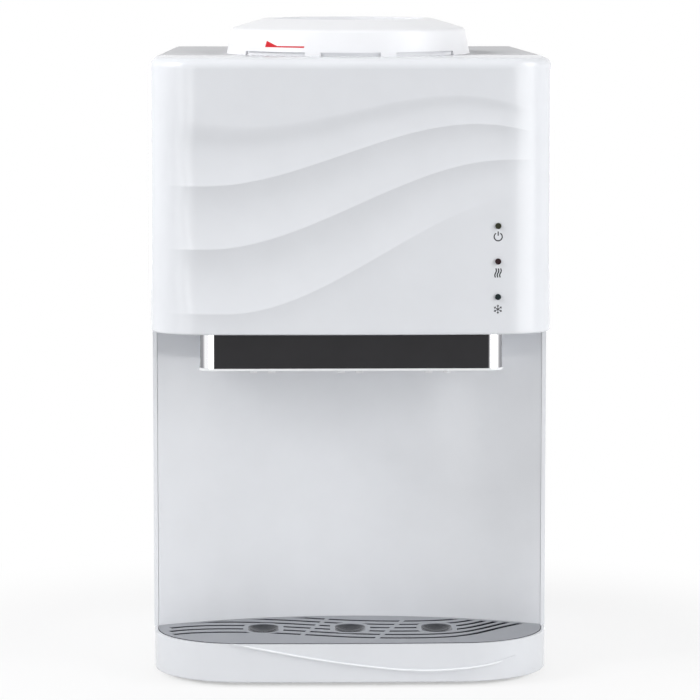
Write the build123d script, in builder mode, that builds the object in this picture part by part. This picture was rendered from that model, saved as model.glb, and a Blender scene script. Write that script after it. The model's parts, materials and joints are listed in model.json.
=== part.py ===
from build123d import *

import os
from math import cos, radians, sin, sqrt

# Countertop water dispenser for an upturned bottle, with hot, warm and cold taps.
# Millimetres. +Z is up, the front faces -Y, and the origin lies on the table
# under the middle of the body.

# Body envelope
front_width = 310.0  # across the front cover
rear_width = 292.0  # across the back edges of the side panels
depth = 320.0
body_height = 486.0  # table to the flat top
foot_height = 4.0
base_height = 30.0  # underside of the base to its rim
cover_height = 211.5  # underside of the front cover to the flat top
cover_reach = 80.0  # nose of the front cover back to its seam
lid_skirt = 16.0  # depth of the top cover's edge
rear_recess = 12.0  # rear panel in front of the back edges
alcove_sag = 38.0  # hollow of the splash panel behind its edges

# Outline
cover_corner = 40.0
cover_bow = 4.0
base_corner = 70.0
base_bow = 5.0
top_edge_radius = 8.0
lower_edge_radius = 1.5
base_edge_radius = 1.2

# Walls
cover_wall = 3.0
cover_rim = 14.0  # ledge round the underside of the front cover
base_floor = 3.0
side_wall = 3.3
splash_wall = 2.5
divider_wall = 2.5
rear_wall = 1.5
rear_flange = 14.0
lid_wall = 3.0
shelf_wall = 3.0

# Clearances
fit = 0.3  # between fixed pieces
lift_gap = 0.5  # round pieces that lift out
running = 0.05  # pins and shafts in their holes

# Ridge on the front of the base: places across and heights above the base's underside
swoosh_rise = 0.8
swoosh_width = 2.2
swoosh_points = ((-95.0, 31.0), (-28.0, 18.5), (24.0, 11.4), (60.0, 9.2), (99.0, 11.8), (128.0, 17.1))

# Bottle seat
bottle_y = -25.0
well_radius = 83.0
well_wall = 2.5
well_depth = 37.0
well_flange_radius = 90.0
drop_radius = 36.0
collar_base_radius = 96.5
collar_shoulder_radius = 92.5
collar_shoulder_height = 20.0
collar_crown_radius = 67.0
collar_mouth_radius = 60.0
collar_height = 27.5
collar_wall = 3.0
collar_lip = 5.5
collar_shoulder_round = 4.0
collar_crown_round = 8.0
collar_windows = ((-39.5, 36.0), (0.0, 28.0), (39.5, 36.0))  # turn from the front or back, and angle
collar_window_height = 3.0
collar_window_depth = 2.0
mark_depth = 0.5
mark_angle = 33.0  # turned from the front towards the left
mark_length = 36.0
mark_height = 5.0
mark_tail = 1.2
mark_head = 12.0
mark_rise = 6.5
neck_radius = 31.0  # bore for the bottle's neck
neck_wall = 2.5
neck_straight = 27.0
seal_inset = 1.5
seal_width = 5.0
seal_height = 1.5
probe_radius = 11.0
probe_bore = 8.0
probe_step = 1.0
probe_step_height = 3.0
probe_height = 46.0
probe_window = 6.0
probe_window_count = 4

# Taps
tap_inset = 86.5  # outer nozzles inside the front cover's sides
tap_set_back = 56.0  # nozzles behind the nose of the front cover
bar_inset = 38.5  # ends of the bar inside the front cover's sides
bar_set_back = 12.0  # strip behind the nose of the front cover
bar_corner = 12.0
bar_height = 27.0
bar_wall = 2.5
bar_lip = 1.6
bar_lip_reach = 0.8
strip_thickness = 1.5
strip_end = 10.8  # bright ends of the strip, measured across
strip_return = 20.0
nozzle_radius = 3.8
nozzle_bore = 2.5
nozzle_drop = 32.3  # below the underside of the front cover
valve_radius = 6.5
valve_bore = 4.5
valve_drop = 26.5
valve_height = 14.0
valve_wall = 3.0
bonnet_height = 2.0
stem_radius = 2.0
plug_height = 2.8
stem_head_radius = 4.0
stem_head_height = 2.0
lever_gap = 0.5
lever_thickness = 3.1
lever_reach = 12.0  # pivot in front of the nozzle
pivot_rise = 1.0  # pivot above the valve's middle
prong_gap = 8.6
prong_drop = 35.3
prong_height = 4.2
prong_depth = 7.0
finger_height = 2.5
finger_depth = 6.0
pin_radius = 1.5
hub_radius = 4.2
inlet_reach = 20.0  # inlet column behind the nozzle
column_radius = 6.0
column_flange_radius = 9.0
column_flange_height = 3.0
elbow_radius = 5.0
elbow_rise = 8.0

# Hoses
spigot_radius = 4.0
spigot_bore = 2.6
spigot_length = 14.0
hose_wall = 1.4
hose_gap = 0.1
hose_bend = 10.0
wide_bend = 20.0
hose_clear = 2.0
hose_drop = 30.0
cold_hose_turn = 14.0

# Indicators
indicator_inset = 43.0  # lights inside the front cover's right side
indicator_rise = 83.6  # top light above the underside of the front cover
indicator_pitch = 27.25
indicator_count = 3
lens_radius = 2.35
lens_flange_radius = 4.0
lens_flange = 1.2
lens_proud = 0.5
lens_length = 7.0
board_thickness = 1.6
indicator_board_width = 18.0
led_radius = 1.6
led_height = 0.9
post_radius = 3.0

# Drip tray
pan_wall = 2.0
grille_thickness = 3.0
grille_proud = 0.6  # above the base's rim
grille_lip = 1.5
grille_lip_height = 3.0
grille_margin = 5.0
slot_width = 5.2
slot_pitch = 14.0
slot_first = 24.0  # first row in front of the middle of the splash panel
slot_rows = 6
slot_break = 3.4
slot_break_places = (-31.5, 31.0)
slot_break_slant = 18.0
slot_points = (
    (-142.0, 16.0),
    (-124.0, 23.5),
    (-95.0, 26.3),
    (-51.0, 19.5),
    (0.0, 4.4),
    (50.0, 0.0),
    (84.0, 7.0),
    (113.0, 34.0),
    (138.0, 60.0),
)
dimple_radius = 12.4
dimple_stretch = 12.5  # between the middles of a dish's round ends
dimple_set_back = 10.0  # middle of a dish behind the nozzle
dimple_depth = 4.5
dimple_wall = 1.5
dimple_land = 3.5

# Feet
foot_radius = 10.0
foot_round = 1.0
foot_inset = 32.0
foot_set_back = 48.0

# Cold tank
tank_size = 120.0
tank_height = 110.0
tank_wall = 1.5
tank_corner = 18.0
tank_lid_thickness = 3.0
tank_lid_ring = 4.0
foam_thickness = 15.0
frame_thickness = 3.0
cold_outlet_reach = 42.0
cold_outlet_set_back = 5.0
warm_outlet_reach = 13.0
feed_outlet_reach = 38.5  # to the right of the hot tank's middle
feed_outlet_set_back = 35.0

# Thermoelectric cooler
cooler_size = 40.0
block_length = 22.0
module_thickness = 4.0
sink_width = 110.0
sink_height = 90.0
sink_base = 8.0
fin_length = 30.0
fin_thickness = 2.0
fin_count = 13
fan_size = 92.0
fan_thickness = 20.0
fan_wall = 2.5
fan_gap = 1.5
fan_hub_radius = 17.0
fan_blade_count = 7
fan_blade_chord = 15.0
fan_blade_thickness = 1.8
fan_blade_angle = 40.0
fan_plate = 2.5
fan_shaft_radius = 2.0
strut_width = 4.0

# Hot tank
hot_y = 60.0
hot_tank_height = 110.0
hot_hose_fall = 38.5  # hot hose's run above the hot tank
hot_radius = 42.0
hot_wall = 1.2
hot_edge = 8.0
band_wall = 2.5
band_height = 30.0
band_rise = 25.0
wool_wall = 8.0
wool_height = 90.0
wool_rise = 10.0
wrap_gap = 0.15
hot_leg_radius = 4.0
hot_leg_reach = 28.0
hot_leg_count = 3
hot_leg_angle = 100.0  # first leg, round from +X
thermostat_radius = 8.0
thermostat_height = 6.0
thermostat_reach = 22.0
hot_drain_across = 16.0
hot_drain_back = 12.0

# Power board
board_inset = 80.0  # middle of the board inside the body's right side
board_y = 75.0
board_width = 80.0
board_length = 100.0
standoff_radius = 3.5
standoff_height = 8.0
standoff_inset = 6.0
transformer_size = 40.0
transformer_height = 34.0
transformer_shift = 20.0  # in front of the board's middle
capacitor_radius = 6.0
capacitor_height = 18.0
capacitor_pitch = 18.0
capacitor_count = 3
capacitor_shift = 25.0  # behind the board's middle

# Rear panel
vent_width = 100.0
vent_height = 4.0
vent_pitch = 9.0
vent_rows = 11
low_vent_rows = 6
low_vent_z = 130.0
screw_radius = 1.6
screw_head_radius = 3.5
screw_head_height = 2.0
screw_length = 8.0
screw_inset = 8.0
screw_rows = 4
drain_z = 60.0
drain_flange_radius = 12.0
drain_flange = 2.0
drain_shank_radius = 7.8
drain_stub_radius = 6.0
drain_stub = 6.0
drain_shank = 12.0
drain_cap_wall = 2.5
gland_inset = 46.0  # inside the back's right edge
gland_z = 60.0
gland_flange_radius = 9.0
gland_flange = 3.0
gland_round = 1.0
gland_shank_radius = 6.5
gland_shank = 10.0
gland_bore = 3.5
switch_inset = 56.0  # between the switches, inside the back's right edge
switch_z = 215.0
switch_pitch = 30.0
switch_width = 21.0
switch_height = 17.0
switch_depth = 18.0
switch_bezel = 1.6
switch_bezel_thickness = 2.0
rocker_width = 16.4
rocker_height = 11.6
rocker_out = 4.0
rocker_in = 3.0
rocker_dip = 1.2
rocker_tilt = 8.0
rocker_gap = 1.0
rocker_pin_radius = 1.4
rocker_pin_length = 1.6

# Places worked out from the sizes above
y_front = -depth / 2
y_rear = depth / 2
seam_y = y_front + cover_reach
back_y = y_rear - rear_recess
rim_z = foot_height + base_height
floor_z = foot_height + base_floor
lid_z = body_height - lid_skirt
lid_under_z = body_height - lid_wall
shelf_height = body_height - cover_height
splash_half = front_width / 2 - side_wall - fit
alcove_radius = (splash_half**2 + alcove_sag**2) / (2 * alcove_sag)
alcove_centre_y = seam_y + alcove_sag - alcove_radius
shelf_z = shelf_height + cover_wall
shelf_top_z = shelf_z + shelf_wall
hose_z = shelf_top_z + elbow_rise
hose_radius = spigot_radius + hose_gap + hose_wall
well_floor_z = body_height - well_depth
well_bottom_z = well_floor_z - well_wall
tank_top_z = well_bottom_z - tank_lid_ring - tank_lid_thickness
tank_z = tank_top_z - tank_height
foam_z = tank_z - foam_thickness
frame_z = foam_z - frame_thickness
cooler_z = tank_z + tank_height / 2
tap_y = y_front + tap_set_back
tap_pitch = front_width / 2 - tap_inset
bar_width = front_width - 2 * bar_inset
strip_split = bar_width / 2 - strip_end
indicator_x = front_width / 2 - indicator_inset
indicator_top = shelf_height + indicator_rise
hot_top_z = hose_z - hot_hose_fall
hot_z = hot_top_z - hot_tank_height
hot_x = -tap_pitch
board_x = front_width / 2 - board_inset
gland_x = rear_width / 2 - gland_inset
switch_x = rear_width / 2 - switch_inset
taps = {"hot": -tap_pitch, "warm": 0.0, "cold": tap_pitch}

upright = (Align.CENTER, Align.CENTER, Align.MIN)
hanging = (Align.CENTER, Align.CENTER, Align.MAX)
backward = (Align.CENTER, Align.MIN, Align.CENTER)
forward = (Align.CENTER, Align.MAX, Align.CENTER)
to_back = (-90, 0, 0)  # turns an upright piece to point along +Y
to_front = (90, 0, 0)  # turns an upright piece to point along -Y
across = (0, 90, 0)  # turns an upright piece to point along +X

os.makedirs("parts", exist_ok=True)


def save(piece, name):
    """Label a finished piece and write it as one STEP file."""
    piece.label = name
    export_step(piece, f"parts/{name}.step")


def half_width(y):
    """Half of the body's width at depth y, drawn in behind the seam."""
    draw_in = (front_width - rear_width) / 2
    return front_width / 2 - draw_in * max(0.0, y - seam_y) / (y_rear - seam_y)


def cover_face_y(x):
    """Depth of the front cover's bowed outer face, x across from its middle."""
    bow_radius = ((front_width / 2) ** 2 + cover_bow**2) / (2 * cover_bow)
    return y_front + bow_radius - sqrt(bow_radius**2 - x**2)


def nose_plan(inset, corner, bow, back):
    """Plan of the front part: a bowed nose, round corners and a straight back edge."""
    half = front_width / 2 - inset
    nose = y_front + inset
    with BuildSketch(mode=Mode.PRIVATE) as plan:
        with BuildLine():
            ThreePointArc((-half, nose + bow), (0, nose), (half, nose + bow))
            Polyline((half, nose + bow), (half, back), (-half, back), (-half, nose + bow))
        make_face()
        fillet(plan.vertices().sort_by(Axis.Y)[:2], corner - inset)
    return plan.sketch


def tail_plan(inset, front, back):
    """Plan of the rear part, whose sides draw in towards the back."""
    wide = half_width(front) - inset
    narrow = half_width(back) - inset
    with BuildSketch(mode=Mode.PRIVATE) as plan:
        with BuildLine():
            Polyline((wide, front), (narrow, back), (-narrow, back), (-wide, front), close=True)
        make_face()
    return plan.sketch


def tray_plan(inset):
    """Plan of the drip tray: the base's nose in front, the splash panel behind."""
    with BuildSketch(mode=Mode.PRIVATE) as plan:
        add(nose_plan(side_wall + inset, base_corner, base_bow, seam_y + alcove_sag))
        with Locations((0, alcove_centre_y)):
            Circle(alcove_radius - inset, mode=Mode.INTERSECT)
        fillet(plan.vertices().sort_by(Axis.Y)[-2:], pan_wall)
    return plan.sketch


def bar_plan(inset):
    """Plan of the tap bar, from its front back to the splash panel."""
    front = y_front + bar_set_back + inset
    back = seam_y + alcove_sag
    with BuildSketch(mode=Mode.PRIVATE) as plan:
        with Locations((0, front)):
            Rectangle(bar_width - 2 * inset, back - front, align=(Align.CENTER, Align.MIN))
        fillet(plan.vertices().sort_by(Axis.Y)[:2], bar_corner - inset)
        with Locations((0, alcove_centre_y)):
            Circle(alcove_radius - fit, mode=Mode.INTERSECT)
    return plan.sketch


# Base tray, with the ridge on its front, the splash panel's divider and the board's posts
with BuildPart() as swoosh:
    with BuildSketch(Plane.XZ.offset(-seam_y)):
        with BuildLine():
            Spline(*[(x, foot_height + rise) for x, rise in swoosh_points])
        trace(line_width=swoosh_width)
    extrude(amount=cover_reach)
    with BuildSketch(Plane.XY.offset(foot_height)):
        add(nose_plan(0, base_corner, base_bow, seam_y))
    extrude(amount=base_height, mode=Mode.INTERSECT)

with BuildPart() as base_tray:
    with BuildSketch(Plane.XY.offset(foot_height)):
        add(nose_plan(swoosh_rise, base_corner, base_bow, seam_y))
        add(tail_plan(swoosh_rise, seam_y, y_rear))
    extrude(amount=base_height)
    fillet(base_tray.faces().sort_by(Axis.Z)[0].edges(), base_edge_radius)
    add(swoosh.part)
    with BuildSketch(Plane.XY.offset(floor_z)):
        add(nose_plan(side_wall, base_corner, base_bow, seam_y))
        add(tail_plan(side_wall, seam_y, back_y - rear_wall))
    extrude(amount=base_height - base_floor, mode=Mode.SUBTRACT)
    with BuildSketch(Plane.XY.offset(floor_z)):
        with Locations((0, alcove_centre_y)):
            Circle(alcove_radius + splash_wall + fit + divider_wall)
            Circle(alcove_radius + splash_wall + fit, mode=Mode.SUBTRACT)
        add(tail_plan(side_wall, seam_y, back_y - rear_wall), mode=Mode.INTERSECT)
    extrude(amount=base_height - base_floor)
    sill = y_rear - swoosh_rise - back_y - base_floor
    with BuildSketch(Plane.XY.offset(foot_height)):
        with Locations((0, back_y)):
            Rectangle(rear_width - 4 * side_wall, sill, align=(Align.CENTER, Align.MIN))
    extrude(amount=base_height - base_floor, mode=Mode.SUBTRACT)
    with Locations((board_x, board_y, floor_z)):
        with GridLocations(board_width - 2 * standoff_inset, board_length - 2 * standoff_inset, 2, 2):
            Cylinder(standoff_radius, standoff_height, align=upright)
save(base_tray.part, "base_tray")

foot_across = rear_width - 2 * foot_inset
foot_along = depth - 2 * foot_set_back
with BuildPart() as feet:
    with GridLocations(foot_across, foot_along, 2, 2):
        Cylinder(foot_radius, foot_height, align=upright)
    fillet(feet.faces().group_by(Axis.Z)[0].edges(), foot_round)
save(feet.part, "feet")

# Splash panel, hollowed in plan behind the cups
with BuildPart() as splash_panel:
    with BuildSketch(Plane.XY.offset(floor_z)):
        with Locations((0, alcove_centre_y)):
            Circle(alcove_radius + splash_wall)
            Circle(alcove_radius, mode=Mode.SUBTRACT)
        with Locations((0, seam_y)):
            Rectangle(
                2 * splash_half, 2 * alcove_sag, align=(Align.CENTER, Align.MIN), mode=Mode.INTERSECT
            )
    extrude(amount=shelf_z - floor_z)
save(splash_panel.part, "splash_panel")

# Side panels, each with a flange behind which the rear panel is screwed
screw_x = half_width(back_y) - side_wall - fit - screw_inset
screw_spacing = (lid_z - rim_z) / screw_rows
screw_rises = [(row - (screw_rows - 1) / 2) * screw_spacing for row in range(screw_rows)]
for side_name, side in (("left", -1), ("right", 1)):
    with BuildPart() as side_panel:
        flange_y = back_y - rear_wall
        inner = [(half_width(y) - side_wall, y) for y in (seam_y, flange_y - side_wall, flange_y, y_rear)]
        flange_x = inner[1][0] - rear_flange
        with BuildSketch(Plane.XY.offset(rim_z)):
            with BuildLine():
                Polyline(
                    *[
                        (side * x, y)
                        for x, y in (
                            (half_width(seam_y), seam_y),
                            (half_width(y_rear), y_rear),
                            inner[3],
                            inner[2],
                            (flange_x, flange_y),
                            (flange_x, flange_y - side_wall),
                            inner[1],
                            inner[0],
                        )
                    ],
                    close=True,
                )
            make_face()
        extrude(amount=lid_z - rim_z)
        with Locations((side * screw_x, flange_y, (rim_z + lid_z) / 2)):
            with Locations(*[(0, 0, rise) for rise in screw_rises]):
                Cylinder(screw_radius + running, 4 * side_wall, rotation=to_back, mode=Mode.SUBTRACT)
    save(side_panel.part, f"{side_name}_side_panel")

# Rear panel with vents and the holes of what passes through it
drain_x = hot_x + hot_drain_across
switch_centres = {"heat": switch_x - switch_pitch / 2, "cool": switch_x + switch_pitch / 2}
with BuildPart() as rear_panel:
    with BuildSketch(Plane.XZ.offset(-back_y)):
        with Locations((0, rim_z)):
            Rectangle(
                2 * (half_width(back_y) - side_wall - fit),
                lid_under_z - rim_z,
                align=(Align.CENTER, Align.MIN),
            )
        with Locations((0, cooler_z)):
            with GridLocations(0, vent_pitch, 1, vent_rows):
                SlotOverall(vent_width, vent_height, mode=Mode.SUBTRACT)
        with Locations((0, low_vent_z)):
            with GridLocations(0, vent_pitch, 1, low_vent_rows):
                SlotOverall(vent_width, vent_height, mode=Mode.SUBTRACT)
        with Locations((drain_x, drain_z)):
            Circle(drain_shank_radius + fit, mode=Mode.SUBTRACT)
        with Locations((gland_x, gland_z)):
            Circle(gland_shank_radius + fit, mode=Mode.SUBTRACT)
        with Locations(*[(x, switch_z) for x in switch_centres.values()]):
            Rectangle(switch_width + 2 * fit, switch_height + 2 * fit, mode=Mode.SUBTRACT)
        with Locations((0, (rim_z + lid_z) / 2)):
            with GridLocations(2 * screw_x, screw_spacing, 2, screw_rows):
                Circle(screw_radius + running, mode=Mode.SUBTRACT)
    extrude(amount=rear_wall)
save(rear_panel.part, "rear_panel")

with BuildPart() as rear_screws:
    with Locations((0, back_y, (rim_z + lid_z) / 2)):
        with Locations(*[(side * screw_x, 0, rise) for side in (-1, 1) for rise in screw_rises]):
            Cylinder(screw_head_radius, screw_head_height, rotation=to_back, align=upright)
            Cylinder(screw_radius, screw_length, rotation=to_front, align=upright)
    fillet(rear_screws.faces().group_by(Axis.Y)[-1].edges(), screw_head_height / 2)
save(rear_screws.part, "rear_screws")


# Front cover
def cover_block(inset):
    """The front cover's block, taken in by inset on every side but its open back."""
    with BuildPart() as block:
        with BuildSketch(Plane.XY.offset(shelf_height + inset)):
            add(nose_plan(inset, cover_corner, cover_bow, seam_y))
        extrude(amount=body_height - shelf_height - 2 * inset)
        top_edges = block.faces().sort_by(Axis.Z)[-1].edges()
        fillet(top_edges.filter_by_position(Axis.Y, y_front, seam_y - fit), top_edge_radius - inset)
    return block.part


cover_outer = cover_block(0)
cover_inner = cover_block(cover_wall)
lens_places = [(indicator_x, indicator_top - row * indicator_pitch) for row in range(indicator_count)]
indicator_span = indicator_count * indicator_pitch
indicator_mid = indicator_top - (indicator_span - indicator_pitch) / 2
board_front_y = cover_face_y(indicator_x) - lens_proud + lens_length + led_height
post_places = [(indicator_x, indicator_mid + side * indicator_span / 2) for side in (-1, 1)]
with BuildPart() as front_cover:
    add(cover_outer)
    lower_edges = front_cover.faces().sort_by(Axis.Z)[0].edges()
    fillet(lower_edges.filter_by_position(Axis.Y, y_front, seam_y - fit), lower_edge_radius)
    add(cover_inner, mode=Mode.SUBTRACT)
    with BuildSketch(Plane.XY.offset(shelf_height)):
        add(nose_plan(cover_rim, cover_corner, cover_bow, seam_y))
    extrude(amount=cover_wall, mode=Mode.SUBTRACT)
    with Locations((0, bottle_y, body_height)):
        Cylinder(well_flange_radius + fit, 2 * cover_wall, mode=Mode.SUBTRACT)
    with BuildSketch(Plane.XZ.offset(-board_front_y)):
        with Locations(*post_places):
            Circle(post_radius)
    extrude(amount=board_front_y - cover_face_y(indicator_x) - cover_wall / 2)
    with BuildSketch(Plane.XZ.offset(-board_front_y)):
        with Locations(*lens_places):
            Circle(lens_radius + hose_gap)
    extrude(amount=lens_length + cover_wall, mode=Mode.SUBTRACT)
save(front_cover.part, "front_cover")

# Indicator lenses and the board that lights them
with BuildPart() as indicator_lenses:
    with BuildSketch(Plane.XZ.offset(led_height - board_front_y)):
        with Locations(*lens_places):
            Circle(lens_radius)
    extrude(amount=lens_length)
    fillet(indicator_lenses.faces().group_by(Axis.Y)[0].edges(), lens_proud)
    with BuildSketch(Plane.XZ.offset(-cover_face_y(indicator_x) - cover_wall - fit)):
        with Locations(*lens_places):
            Circle(lens_flange_radius)
    extrude(amount=-lens_flange)
save(indicator_lenses.part, "indicator_lenses")

with BuildPart() as indicator_board:
    with BuildSketch(Plane.XZ.offset(-board_front_y)):
        with Locations((indicator_x, indicator_mid)):
            Rectangle(indicator_board_width, indicator_span + 4 * post_radius)
    extrude(amount=-board_thickness)
    with BuildSketch(Plane.XZ.offset(-board_front_y)):
        with Locations(*lens_places):
            Circle(led_radius)
    extrude(amount=led_height - hose_gap)
save(indicator_board.part, "indicator_board")

# Top cover with the well that takes the bottle seat
with BuildPart() as top_cover:
    with BuildSketch(Plane.XY.offset(lid_z)):
        add(tail_plan(0, seam_y, y_rear))
    extrude(amount=lid_skirt)
    top_edges = top_cover.faces().sort_by(Axis.Z)[-1].edges()
    fillet(top_edges.filter_by_position(Axis.Y, seam_y + fit, y_rear), top_edge_radius)
    with BuildSketch(Plane.XY.offset(lid_z)):
        add(tail_plan(side_wall, seam_y, y_rear - side_wall))
    extrude(amount=lid_skirt - lid_wall, mode=Mode.SUBTRACT)
    with Locations((0, bottle_y, body_height)):
        Cylinder(well_flange_radius, lid_wall, align=hanging)
        Cylinder(well_radius + well_wall, well_depth + well_wall, align=hanging)
        Cylinder(well_radius, well_depth, align=hanging, mode=Mode.SUBTRACT)
        Cylinder(drop_radius, well_depth + 2 * well_wall, align=hanging, mode=Mode.SUBTRACT)
save(top_cover.part, "top_cover")

# Bottle seat: collar with its red mark, neck cup, funnel, probe and seal
collar_z = body_height
collar_top_z = collar_z + collar_height
shoulder_z = collar_z + collar_shoulder_height
bottle_axis = Axis((0, bottle_y, 0), (0, 0, 1))


def bottle_plane(angle):
    """Upright plane through the bottle's axis, its local x pointing out at angle from +X."""
    turn = radians(angle)
    return Plane(
        origin=(0, bottle_y, 0),
        x_dir=(cos(turn), sin(turn), 0),
        z_dir=(sin(turn), -cos(turn), 0),
    )


with BuildPart() as collar_mark:
    with BuildSketch(bottle_plane(0)):
        with BuildLine():
            Polyline(
                (collar_base_radius, collar_z),
                (collar_shoulder_radius, shoulder_z),
                (collar_shoulder_radius - mark_depth, shoulder_z),
                (collar_base_radius - mark_depth, collar_z),
                close=True,
            )
        make_face()
    revolve(axis=bottle_axis)
    mark_foot = collar_z + mark_rise
    with BuildSketch(bottle_plane(-mark_angle)):
        with BuildLine():
            Polyline(
                (-mark_length / 2, mark_foot),
                (mark_length / 2, mark_foot),
                (mark_length / 2, mark_foot + mark_tail),
                (mark_head - mark_length / 2, mark_foot + mark_tail),
                (-mark_length / 2 + mark_tail, mark_foot + mark_height),
                close=True,
            )
        make_face()
    extrude(amount=2 * collar_base_radius, mode=Mode.INTERSECT)
save(collar_mark.part, "collar_mark")

with BuildPart() as bottle_collar:
    with BuildSketch(bottle_plane(0)) as collar_section:
        with BuildLine():
            Polyline(
                (collar_base_radius, collar_z),
                (collar_shoulder_radius, shoulder_z),
                (collar_crown_radius, collar_top_z),
                (collar_mouth_radius, collar_top_z),
                (collar_mouth_radius, collar_top_z - collar_lip),
                (collar_mouth_radius + collar_wall, collar_top_z - collar_lip),
                (collar_mouth_radius + collar_wall, collar_top_z - collar_wall),
                (collar_crown_radius - fit, collar_top_z - collar_wall),
                (collar_shoulder_radius - collar_wall, shoulder_z - collar_wall / 2),
                (collar_base_radius - collar_wall, collar_z),
                close=True,
            )
        make_face()
        corners = collar_section.vertices()
        fillet(corners.sort_by_distance((collar_shoulder_radius, shoulder_z))[0], collar_shoulder_round)
        corners = collar_section.vertices()
        fillet(corners.sort_by_distance((collar_crown_radius, collar_top_z))[0], collar_crown_round)
    revolve(axis=bottle_axis)
    for side in (-90, 90):
        for turn, angle in collar_windows:
            with BuildSketch(bottle_plane(side + turn - angle / 2)):
                with Locations((collar_base_radius - collar_window_depth, collar_z)):
                    Rectangle(2 * collar_window_depth, collar_window_height, align=(Align.MIN, Align.MIN))
            revolve(axis=bottle_axis, revolution_arc=angle, mode=Mode.SUBTRACT)
    add(collar_mark.part, mode=Mode.SUBTRACT)
save(bottle_collar.part, "bottle_collar")

seat_z = well_floor_z + seal_height
seal_radius = drop_radius + seal_inset
funnel_floor_z = seat_z + neck_wall
cone_z = funnel_floor_z + neck_straight
cone_top_z = collar_top_z - collar_lip - lift_gap
with BuildPart() as neck_cup:
    with BuildSketch(bottle_plane(0)):
        with BuildLine():
            Polyline(
                (probe_bore, seat_z),
                (seal_radius + seal_width + seal_inset, seat_z),
                (seal_radius + seal_width + seal_inset, funnel_floor_z),
                (neck_radius + neck_wall, funnel_floor_z),
                (neck_radius + neck_wall, cone_z),
                (neck_radius, cone_z),
                (neck_radius, funnel_floor_z),
                (probe_bore, funnel_floor_z),
                close=True,
            )
        make_face()
    revolve(axis=bottle_axis)
save(neck_cup.part, "neck_cup")

with BuildPart() as neck_funnel:
    with BuildSketch(bottle_plane(0)):
        with BuildLine():
            Polyline(
                (neck_radius, cone_z),
                (neck_radius + neck_wall, cone_z),
                (collar_mouth_radius + neck_wall, cone_top_z),
                (collar_mouth_radius, cone_top_z),
                close=True,
            )
        make_face()
    revolve(axis=bottle_axis)
save(neck_funnel.part, "neck_funnel")

probe_top_z = funnel_floor_z + probe_height
probe_wall = probe_radius - probe_bore
with BuildPart() as water_probe:
    with BuildSketch(bottle_plane(0)):
        with BuildLine():
            Polyline(
                (probe_bore, funnel_floor_z),
                (probe_radius + probe_step, funnel_floor_z),
                (probe_radius + probe_step, funnel_floor_z + probe_step_height),
                (probe_radius, funnel_floor_z + probe_step_height),
                (probe_radius, probe_top_z - probe_radius),
                (probe_wall, probe_top_z),
                (0, probe_top_z),
                (0, probe_top_z - probe_wall),
                (probe_bore, probe_top_z - probe_radius - probe_wall),
                close=True,
            )
        make_face()
    revolve(axis=bottle_axis)
    with Locations((0, bottle_y, probe_top_z - 2 * probe_radius)):
        with PolarLocations(0, probe_window_count):
            Box(
                2 * probe_radius,
                probe_window,
                probe_radius,
                align=(Align.MIN, Align.CENTER, Align.MAX),
                mode=Mode.SUBTRACT,
            )
save(water_probe.part, "water_probe")

with BuildPart() as seat_seal:
    with Locations((0, bottle_y, well_floor_z)):
        Cylinder(seal_radius + seal_width, seal_height, align=upright)
        Cylinder(seal_radius, seal_height, align=upright, mode=Mode.SUBTRACT)
save(seat_seal.part, "seat_seal")

# Tap shelf, tap housing and its strip
inlet_y = tap_y + inlet_reach
with BuildPart() as tap_shelf:
    with BuildSketch(Plane.XY.offset(shelf_z)):
        add(nose_plan(side_wall + lift_gap, cover_corner, cover_bow, seam_y + alcove_sag + splash_wall))
        with Locations((0, alcove_centre_y)):
            Circle(alcove_radius + splash_wall, mode=Mode.INTERSECT)
        with Locations(*[(tap_x, inlet_y) for tap_x in taps.values()]):
            Circle(elbow_radius + fit, mode=Mode.SUBTRACT)
    extrude(amount=shelf_wall)
save(tap_shelf.part, "tap_shelf")

bar_z = shelf_height - bar_height
lip_z = bar_z - bar_lip
with BuildPart() as tap_housing:
    with BuildSketch(Plane.XY.offset(bar_z)):
        add(bar_plan(strip_thickness))
    extrude(amount=bar_height)
    with BuildSketch(Plane.XY.offset(lip_z)):
        add(bar_plan(-bar_lip_reach))
    extrude(amount=bar_lip)
    with BuildSketch(Plane.XY.offset(shelf_height)):
        add(bar_plan(strip_thickness))
        add(nose_plan(cover_rim + fit, cover_corner, cover_bow, seam_y + alcove_sag), mode=Mode.INTERSECT)
    extrude(amount=cover_wall)
    with BuildSketch(Plane.XY.offset(lip_z)):
        add(bar_plan(strip_thickness + bar_wall))
    extrude(amount=bar_lip + bar_height + cover_wall, mode=Mode.SUBTRACT)
save(tap_housing.part, "tap_housing")

strip_front = y_front + bar_set_back
with BuildPart() as tap_strip:
    with BuildSketch(Plane.XY.offset(bar_z)):
        add(bar_plan(0))
        add(bar_plan(strip_thickness), mode=Mode.SUBTRACT)
        with Locations((0, strip_front)):
            Rectangle(2 * strip_split, 2 * strip_return, mode=Mode.INTERSECT)
    extrude(amount=bar_height)
save(tap_strip.part, "tap_strip")

with BuildPart() as strip_ends:
    with BuildSketch(Plane.XY.offset(bar_z)):
        add(bar_plan(0))
        add(bar_plan(strip_thickness), mode=Mode.SUBTRACT)
        with Locations((0, strip_front)):
            Rectangle(2 * bar_width, 2 * strip_return, mode=Mode.INTERSECT)
            Rectangle(2 * strip_split, 2 * strip_return, mode=Mode.SUBTRACT)
    extrude(amount=bar_height)
save(strip_ends.part, "strip_ends")

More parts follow.
